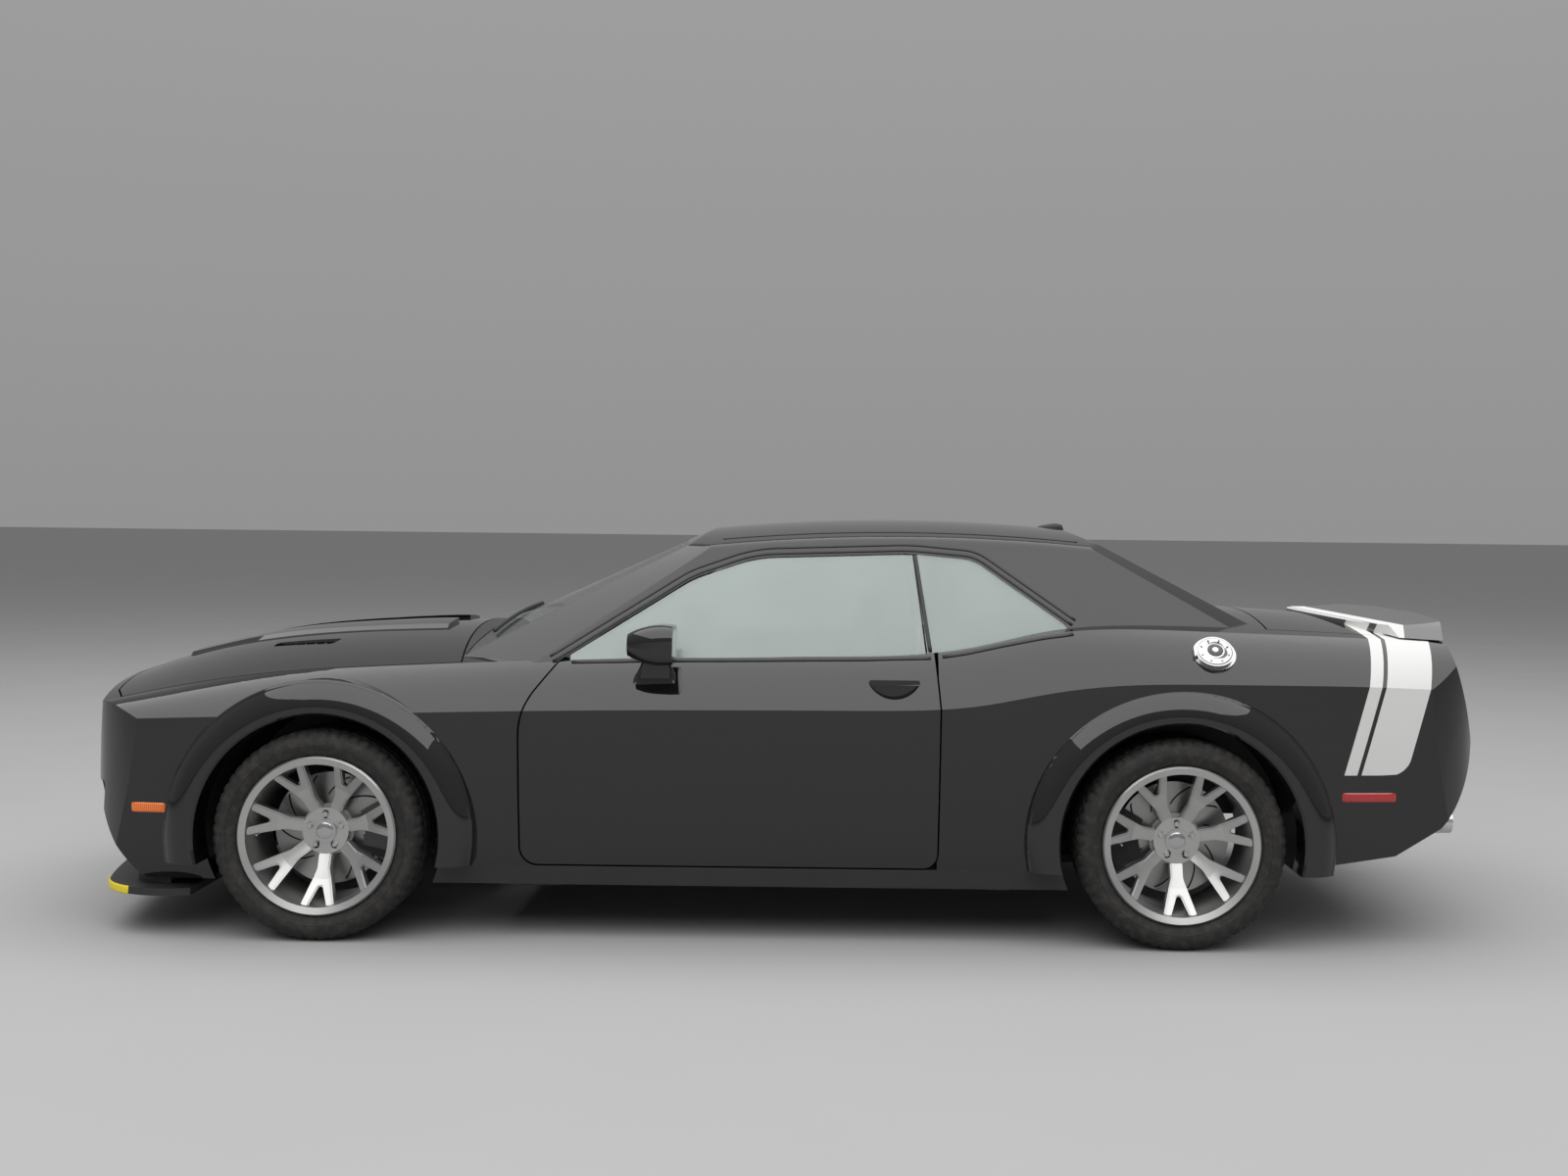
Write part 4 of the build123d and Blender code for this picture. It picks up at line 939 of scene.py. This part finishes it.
def buildPad(name, pad, y):
    # crowned pad: u runs along the lean, v across the car, the face swells along the normal
    angle = math.radians(pad["lean"])
    uAxis = Vector((math.cos(angle), 0, math.sin(angle)))
    normal = Vector((math.sin(angle), 0, -math.cos(angle)))
    if normal.z < -0.2 or (abs(normal.z) < 0.75 and normal.x < 0):
        normal = -normal
    centre = Vector((pad["centre"][0], y, pad["centre"][1]))
    size, waist, deep = padShape["size"], padShape["waist"], padShape["deep"]
    seamAt, seamWide = padShape["seam"]
    points, faces = [], []
    index = {}

    def swell(u, v):
        side = min(1.0, max(0.0, (abs(v) - padShape["bolsterEdge"][0]) / padShape["bolsterEdge"][1]))
        height = pad["front"] + pad["bolster"] * side * side * (3 - 2 * side)
        height -= deep * math.exp(-((abs(v) - seamAt) / seamWide) ** 2)
        if pad["channels"] and abs(v) < seamAt:
            groove = abs(math.sin(math.pi * (u * 0.5 + 0.5) * pad["channels"]))
            height -= deep * (1 - min(1.0, groove * 3.0))
        return height

    for face in (0, 1):
        for i in range(size + 1):
            for j in range(size + 1):
                u, v = i / size * 2 - 1, j / size * 2 - 1
                if face == 1 and (i in (0, size) or j in (0, size)):
                    index[face, i, j] = index[0, i, j]
                    continue
                cornerCut = 1 - padShape["corner"] * (abs(u) ** 4) * (abs(v) ** 4)
                along = u * pad["half"][0] * (1 - waist * (1 - v * v) * abs(u) ** 6) * cornerCut
                across = v * pad["half"][1] * (1 - waist * (1 - u * u) * abs(v) ** 6) * cornerCut
                crown = ((1 - abs(u) ** 5) * (1 - abs(v) ** 5)) ** 0.5
                height = crown * (swell(u, v) if face == 0 else -pad["back"])
                index[face, i, j] = len(points)
                points.append(centre + uAxis * along + Vector((0, across, 0)) + normal * height)
    for face in (0, 1):
        for i in range(size):
            for j in range(size):
                quad = tuple(index[face, i + a, j + b] for a, b in ((0, 0), (1, 0), (1, 1), (0, 1)))
                faces.append(quad if face == 0 else tuple(reversed(quad)))
    made = piece(name, points, faces, seatLeather, "body", levels=1)
    return made


def block(name, low, high, radius, look, body, slot, steps=5):  # box with rounded edges
    points, faces = [], []
    size = [max(0.0, (h - l) / 2 - radius) for l, h in zip(low, high)]
    middle = Vector([(l + h) / 2 for l, h in zip(low, high)])
    sides, rings = steps * 4, steps * 2
    for r in range(rings):
        lat = -math.pi / 2 + math.pi * (r + 0.5) / rings
        for k in range(sides):
            lon = 2 * math.pi * (k + 0.5) / sides
            way = Vector((math.cos(lat) * math.cos(lon), math.cos(lat) * math.sin(lon), math.sin(lat)))
            square = Vector([math.copysign(size[i], way[i]) for i in range(3)])
            points.append(middle + square + way * radius)
    for r in range(rings - 1):
        for k in range(sides):
            a, b = r * sides + k, r * sides + (k + 1) % sides
            faces.append((a, b, b + sides, a + sides))
    faces.append(tuple(reversed(range(sides))))
    faces.append(tuple(range((rings - 1) * sides, rings * sides)))
    made = piece(name, points, faces, look, body)
    made.data.set_sharp_from_angle(angle=math.radians(50))
    return made


def seatBlock(name, part, y, look, slot):
    (x0, x1), half, (z0, z1), radius = seatBase[part]
    block(name, (x0, y - half, z0), (x1, y + half, z1), radius, look, "body", slot)


def buildSeats():
    seats, bench = [], []
    for label, side in hands.items():
        y = side * seatPads["side"]
        for part in ("cushion", "back", "head"):
            seats.append(buildPad(label + "Seat" + part.capitalize(), seatPads[part], y))
        seatBlock(label + "SeatPlinth", "plinth", y, trim, "black_trim")
        xs, spacing, zs, thick = seatBase["post"]
        for k, way in enumerate((-1, 1)):
            seatBlock("%sSeatRail%d" % (label, k), "rail", y + way * seatBase["railOff"], iron, "iron")
            post = [Vector((mix(xs, t), y + way * spacing, mix(zs, t))) for t in (0, 0.25, 0.5, 0.75, 1)]
            facing = [Vector((1, 0, 0.3))] * len(post)
            bead("%sHeadPost%d" % (label, k), post, facing, thick, thick, chrome, "body", "chrome")
    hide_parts("front_seats")
    for label, side in hands.items():
        for part in ("cushion", "back"):
            name = label + "Bench" + part.capitalize()
            bench.append(buildPad(name, benchPads[part], side * benchPads["side"]))
    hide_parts("rear_seat")


buildSeats()
print("seats built")

roofSeam = {"y": 0.520, "x": (0.235, -1.060), "wide": 0.007, "tall": 0.005}
roofFin = {"x": (-1.075, -0.965), "half": 0.016, "tall": 0.030}


def buildRoofDetails():
    skin = skinOf("roof")
    for label, side in hands.items():
        path, normals = [], []
        for k in range(61):
            x = mix(roofSeam["x"], k / 60)
            hit, normal = fromAbove(skin, x, side * roofSeam["y"])
            if hit is not None:
                path.append(hit)
                normals.append(normal)
        size = (roofSeam["wide"], roofSeam["tall"])
        bead(label + "RoofSeam", path, normals, *size, trim, "body", "black_trim")
    points, faces = [], []
    columns, sides = 24, 16
    for i in range(columns + 1):
        t = i / columns
        x = mix(roofFin["x"], t)
        hit, normal = fromAbove(skin, x, 0)
        rise = roofFin["tall"] * (1 - t) ** 0.7 * min(1.0, t * 9 + 0.25)
        wide = roofFin["half"] * math.sqrt(max(0.02, 1 - (2 * t - 1) ** 2))
        for k in range(sides):
            angle = math.pi * k / (sides - 1)
            points.append(Vector((x, wide * math.cos(angle), hit.z - 0.002 + rise * math.sin(angle) ** 0.8)))
    for i in range(columns):
        for k in range(sides - 1):
            a = i * sides + k
            faces.append((a, a + sides, a + sides + 1, a + 1))
    faces.append(tuple(range(sides)))
    faces.append(tuple(reversed(range(columns * sides, (columns + 1) * sides))))
    piece("roofFin", points, faces, trim, "body")


buildRoofDetails()
print("roof details built")

hoodSlats = {
    "vent": [(1.655, 0.428, 0.490), (1.890, 0.392, 0.440)],  # x, inner y and outer y at both ends
    "count": 6, "wide": 0.014, "tall": 0.010, "lift": 0.004,
}


def buildHoodSlats():
    skin = skinOf("hood")
    (x0, in0, out0), (x1, in1, out1) = hoodSlats["vent"]
    for label, side in hands.items():
        for k in range(hoodSlats["count"]):
            t = (k + 0.5) / hoodSlats["count"]
            x = mix((x0, x1), t)
            start, stop = mix((in0, in1), t) + 0.004, mix((out0, out1), t) - 0.002
            path, normals = [], []
            for i in range(7):
                y = side * mix((start, stop), i / 6)
                hit, normal = fromAbove(skin, x, y)
                path.append(hit + Vector((0, 0, hoodSlats["lift"])))
                normals.append(Vector((0.5, 0, 1)).normalized())
            size = (hoodSlats["wide"], hoodSlats["tall"])
            bead("%sHoodSlat%d" % (label, k), path, normals, *size, trim, "hood", "black_trim")


buildHoodSlats()
print("hood slats built")

cabin = {
    "from": 0.1,  # rays towards the dashboard start here
    "screen": {"y": (-0.115, 0.115), "z": (0.735, 0.865), "proud": 0.012, "sunk": 0.03, "edge": 0.006},
    "dials": {"y": (0.275, 0.370, 0.465), "z": 0.903, "radius": 0.042},
    "dial": [(1, -0.002), (1, 0.005), (0.93, 0.006), (0.90, 0.003), (0.2, 0.003), (0.16, 0.006)],
    "vents": {"y": (-0.62, -0.50, 0.62), "z": 0.845},
    "vent": [(0.045, -0.002), (0.045, 0.008), (0.040, 0.010), (0.036, 0.004), (0.010, 0.004), (0.008, 0.008)],
    "shifter": (0.12, 1.0),
    "boot": [(0.060, -0.002), (0.055, 0.010), (0.030, 0.045), (0.016, 0.070), (0.012, 0.080)],
    "knob": [(0.009, 0.07), (0.009, 0.13), (0.021, 0.142), (0.027, 0.160), (0.024, 0.178), (0.013, 0.186)],
    "armrest": {"x": (-0.42, 0.28), "z": (0.770, 0.800), "from": 0.5, "lift": 0.012, "size": (0.075, 0.055)},
    "mirror": ((0.338, -0.120, 1.230), (0.370, 0.120, 1.294), 0.014),
}


def buildCabinDetails():
    skin = skinOf("dashboard")
    screen, dials, vents, rest = cabin["screen"], cabin["dials"], cabin["vents"], cabin["armrest"]
    (y0, y1), (z0, z1) = screen["y"], screen["z"]
    hit, normal = touch(skin, (cabin["from"], 0.0, (z0 + z1) / 2), (1, 0, 0))
    low, high = (hit.x - screen["proud"], y0, z0), (hit.x + screen["sunk"], y1, z1)
    block("dashScreen", low, high, screen["edge"], screenGlass, "body", "black_trim")
    for k, y in enumerate(dials["y"]):
        hit, normal = touch(skin, (cabin["from"], y, dials["z"]), (1, 0, 0))
        rings = [(share * dials["radius"], height) for share, height in cabin["dial"]]
        disc("dashDial%d" % k, (hit.x, y, dials["z"]), (-1, 0, 0.1), rings, screenGlass, "body")
    for k, y in enumerate(vents["y"]):
        hit, normal = touch(skin, (cabin["from"], y, vents["z"]), (1, 0, 0))
        if hit is not None:
            disc("dashVent%d" % k, hit, normal, cabin["vent"], chrome, "body")
    x, z = cabin["shifter"]
    hit, normal = touch(skin, (x, 0.0, z), (0, 0, -1))
    disc("shifterBoot", hit, (0, 0, 1), cabin["boot"], seatLeather, "body")
    disc("shifterKnob", hit, (-0.15, 0, 1), cabin["knob"], satinBlack, "body")
    for label, side in hands.items():
        door = skinOf(label + "_door")
        path, normals = [], []
        for k in range(25):
            x, z = mix(rest["x"], k / 24), mix(rest["z"], k / 24)
            hit, normal = touch(door, (x, side * rest["from"], z), (0, side, 0))
            if hit is not None:
                path.append(hit + normal * rest["lift"])
                normals.append(normal)
        bead(label + "Armrest", path, normals, *rest["size"], seatLeather, label + "_door", "leather", 16)
    block("cabinMirror", *cabin["mirror"], trim, "body", "black_trim")


buildCabinDetails()
print("cabin details built")

studio = {
    "reach": 150.0, "floor": (0.40, 0.40, 0.40),
    "horizon": (0.29, 0.29, 0.293), "zenith": (0.40, 0.40, 0.405), "fade": (0.0, 0.6),
    "softbox": (22.0, 32.0), "place": (0.0, 9.0, 12.0), "power": 4150.0,
}


def buildStudio():
    reach = studio["reach"]
    look = Look("pale studio floor", {"Specular IOR Level": 0.1})
    wear = look.noise(look.place(), 1.2, 5.0)
    look.put("Base Color", look.blend(wear, studio["floor"], scaled(studio["floor"], 0.94)))
    look.put("Roughness", 0.7 + wear * 0.15)
    mesh = bpy.data.meshes.new("studioFloor")
    edges = [(-reach, -reach, 0), (reach, -reach, 0), (reach, reach, 0), (-reach, reach, 0)]
    mesh.from_pydata(edges, [], [(0, 1, 2, 3)])
    mesh.materials.append(look.material)
    floor = bpy.data.objects.new("studioFloor", mesh)
    bpy.context.scene.collection.objects.link(floor)
    world = bpy.data.worlds.new("studio")
    world.use_nodes = True
    bpy.context.scene.world = world
    sky = Nodes(world.node_tree)
    x, y, z = sky.axes(sky.add("ShaderNodeTexCoord", out="Generated"))
    low, high = studio["fade"]
    tone = sky.blend(z.above((low + high) / 2, high - low), studio["horizon"], studio["zenith"])
    sky.feed(sky.tree.nodes["Background"].inputs["Color"], tone)
    data = bpy.data.lights.new("topSoftbox", "AREA")
    data.shape = "RECTANGLE"
    data.size, data.size_y = studio["softbox"]
    data.energy = studio["power"]
    lamp = bpy.data.objects.new("topSoftbox", data)
    lamp.location = studio["place"]
    bpy.context.scene.collection.objects.link(lamp)


buildStudio()
print("studio built")

photoView = {  # focal length and view centre in pixels of the picture
    "place": (-0.223, 7.0, 1.457), "focal": 1806.0, "middle": (866.0, 531.0), "roll": 0.0117,
    "picture": (1600, 1200), "sensor": 36.0, "far": 200,
}


def buildCamera():
    data = bpy.data.cameras.new("photoCamera")
    wide, tall = photoView["picture"]
    data.sensor_width = photoView["sensor"]
    data.lens = photoView["sensor"] * photoView["focal"] / wide
    data.shift_x = (wide / 2 - photoView["middle"][0]) / wide   # the picture's own framing, off centre
    data.shift_y = (photoView["middle"][1] - tall / 2) / wide
    data.clip_end = photoView["far"]
    camera = bpy.data.objects.new("photoCamera", data)
    bpy.context.scene.collection.objects.link(camera)
    right = Vector((-1, 0, photoView["roll"])).normalized()
    look = Vector((0, -1, 0))
    turn = Matrix((right, right.cross(look), -look)).transposed().to_4x4()
    camera.matrix_world = Matrix.Translation(photoView["place"]) @ turn
    bpy.context.scene.camera = camera


buildCamera()
bpy.context.scene.view_settings.view_transform = "Standard"
print("camera set")
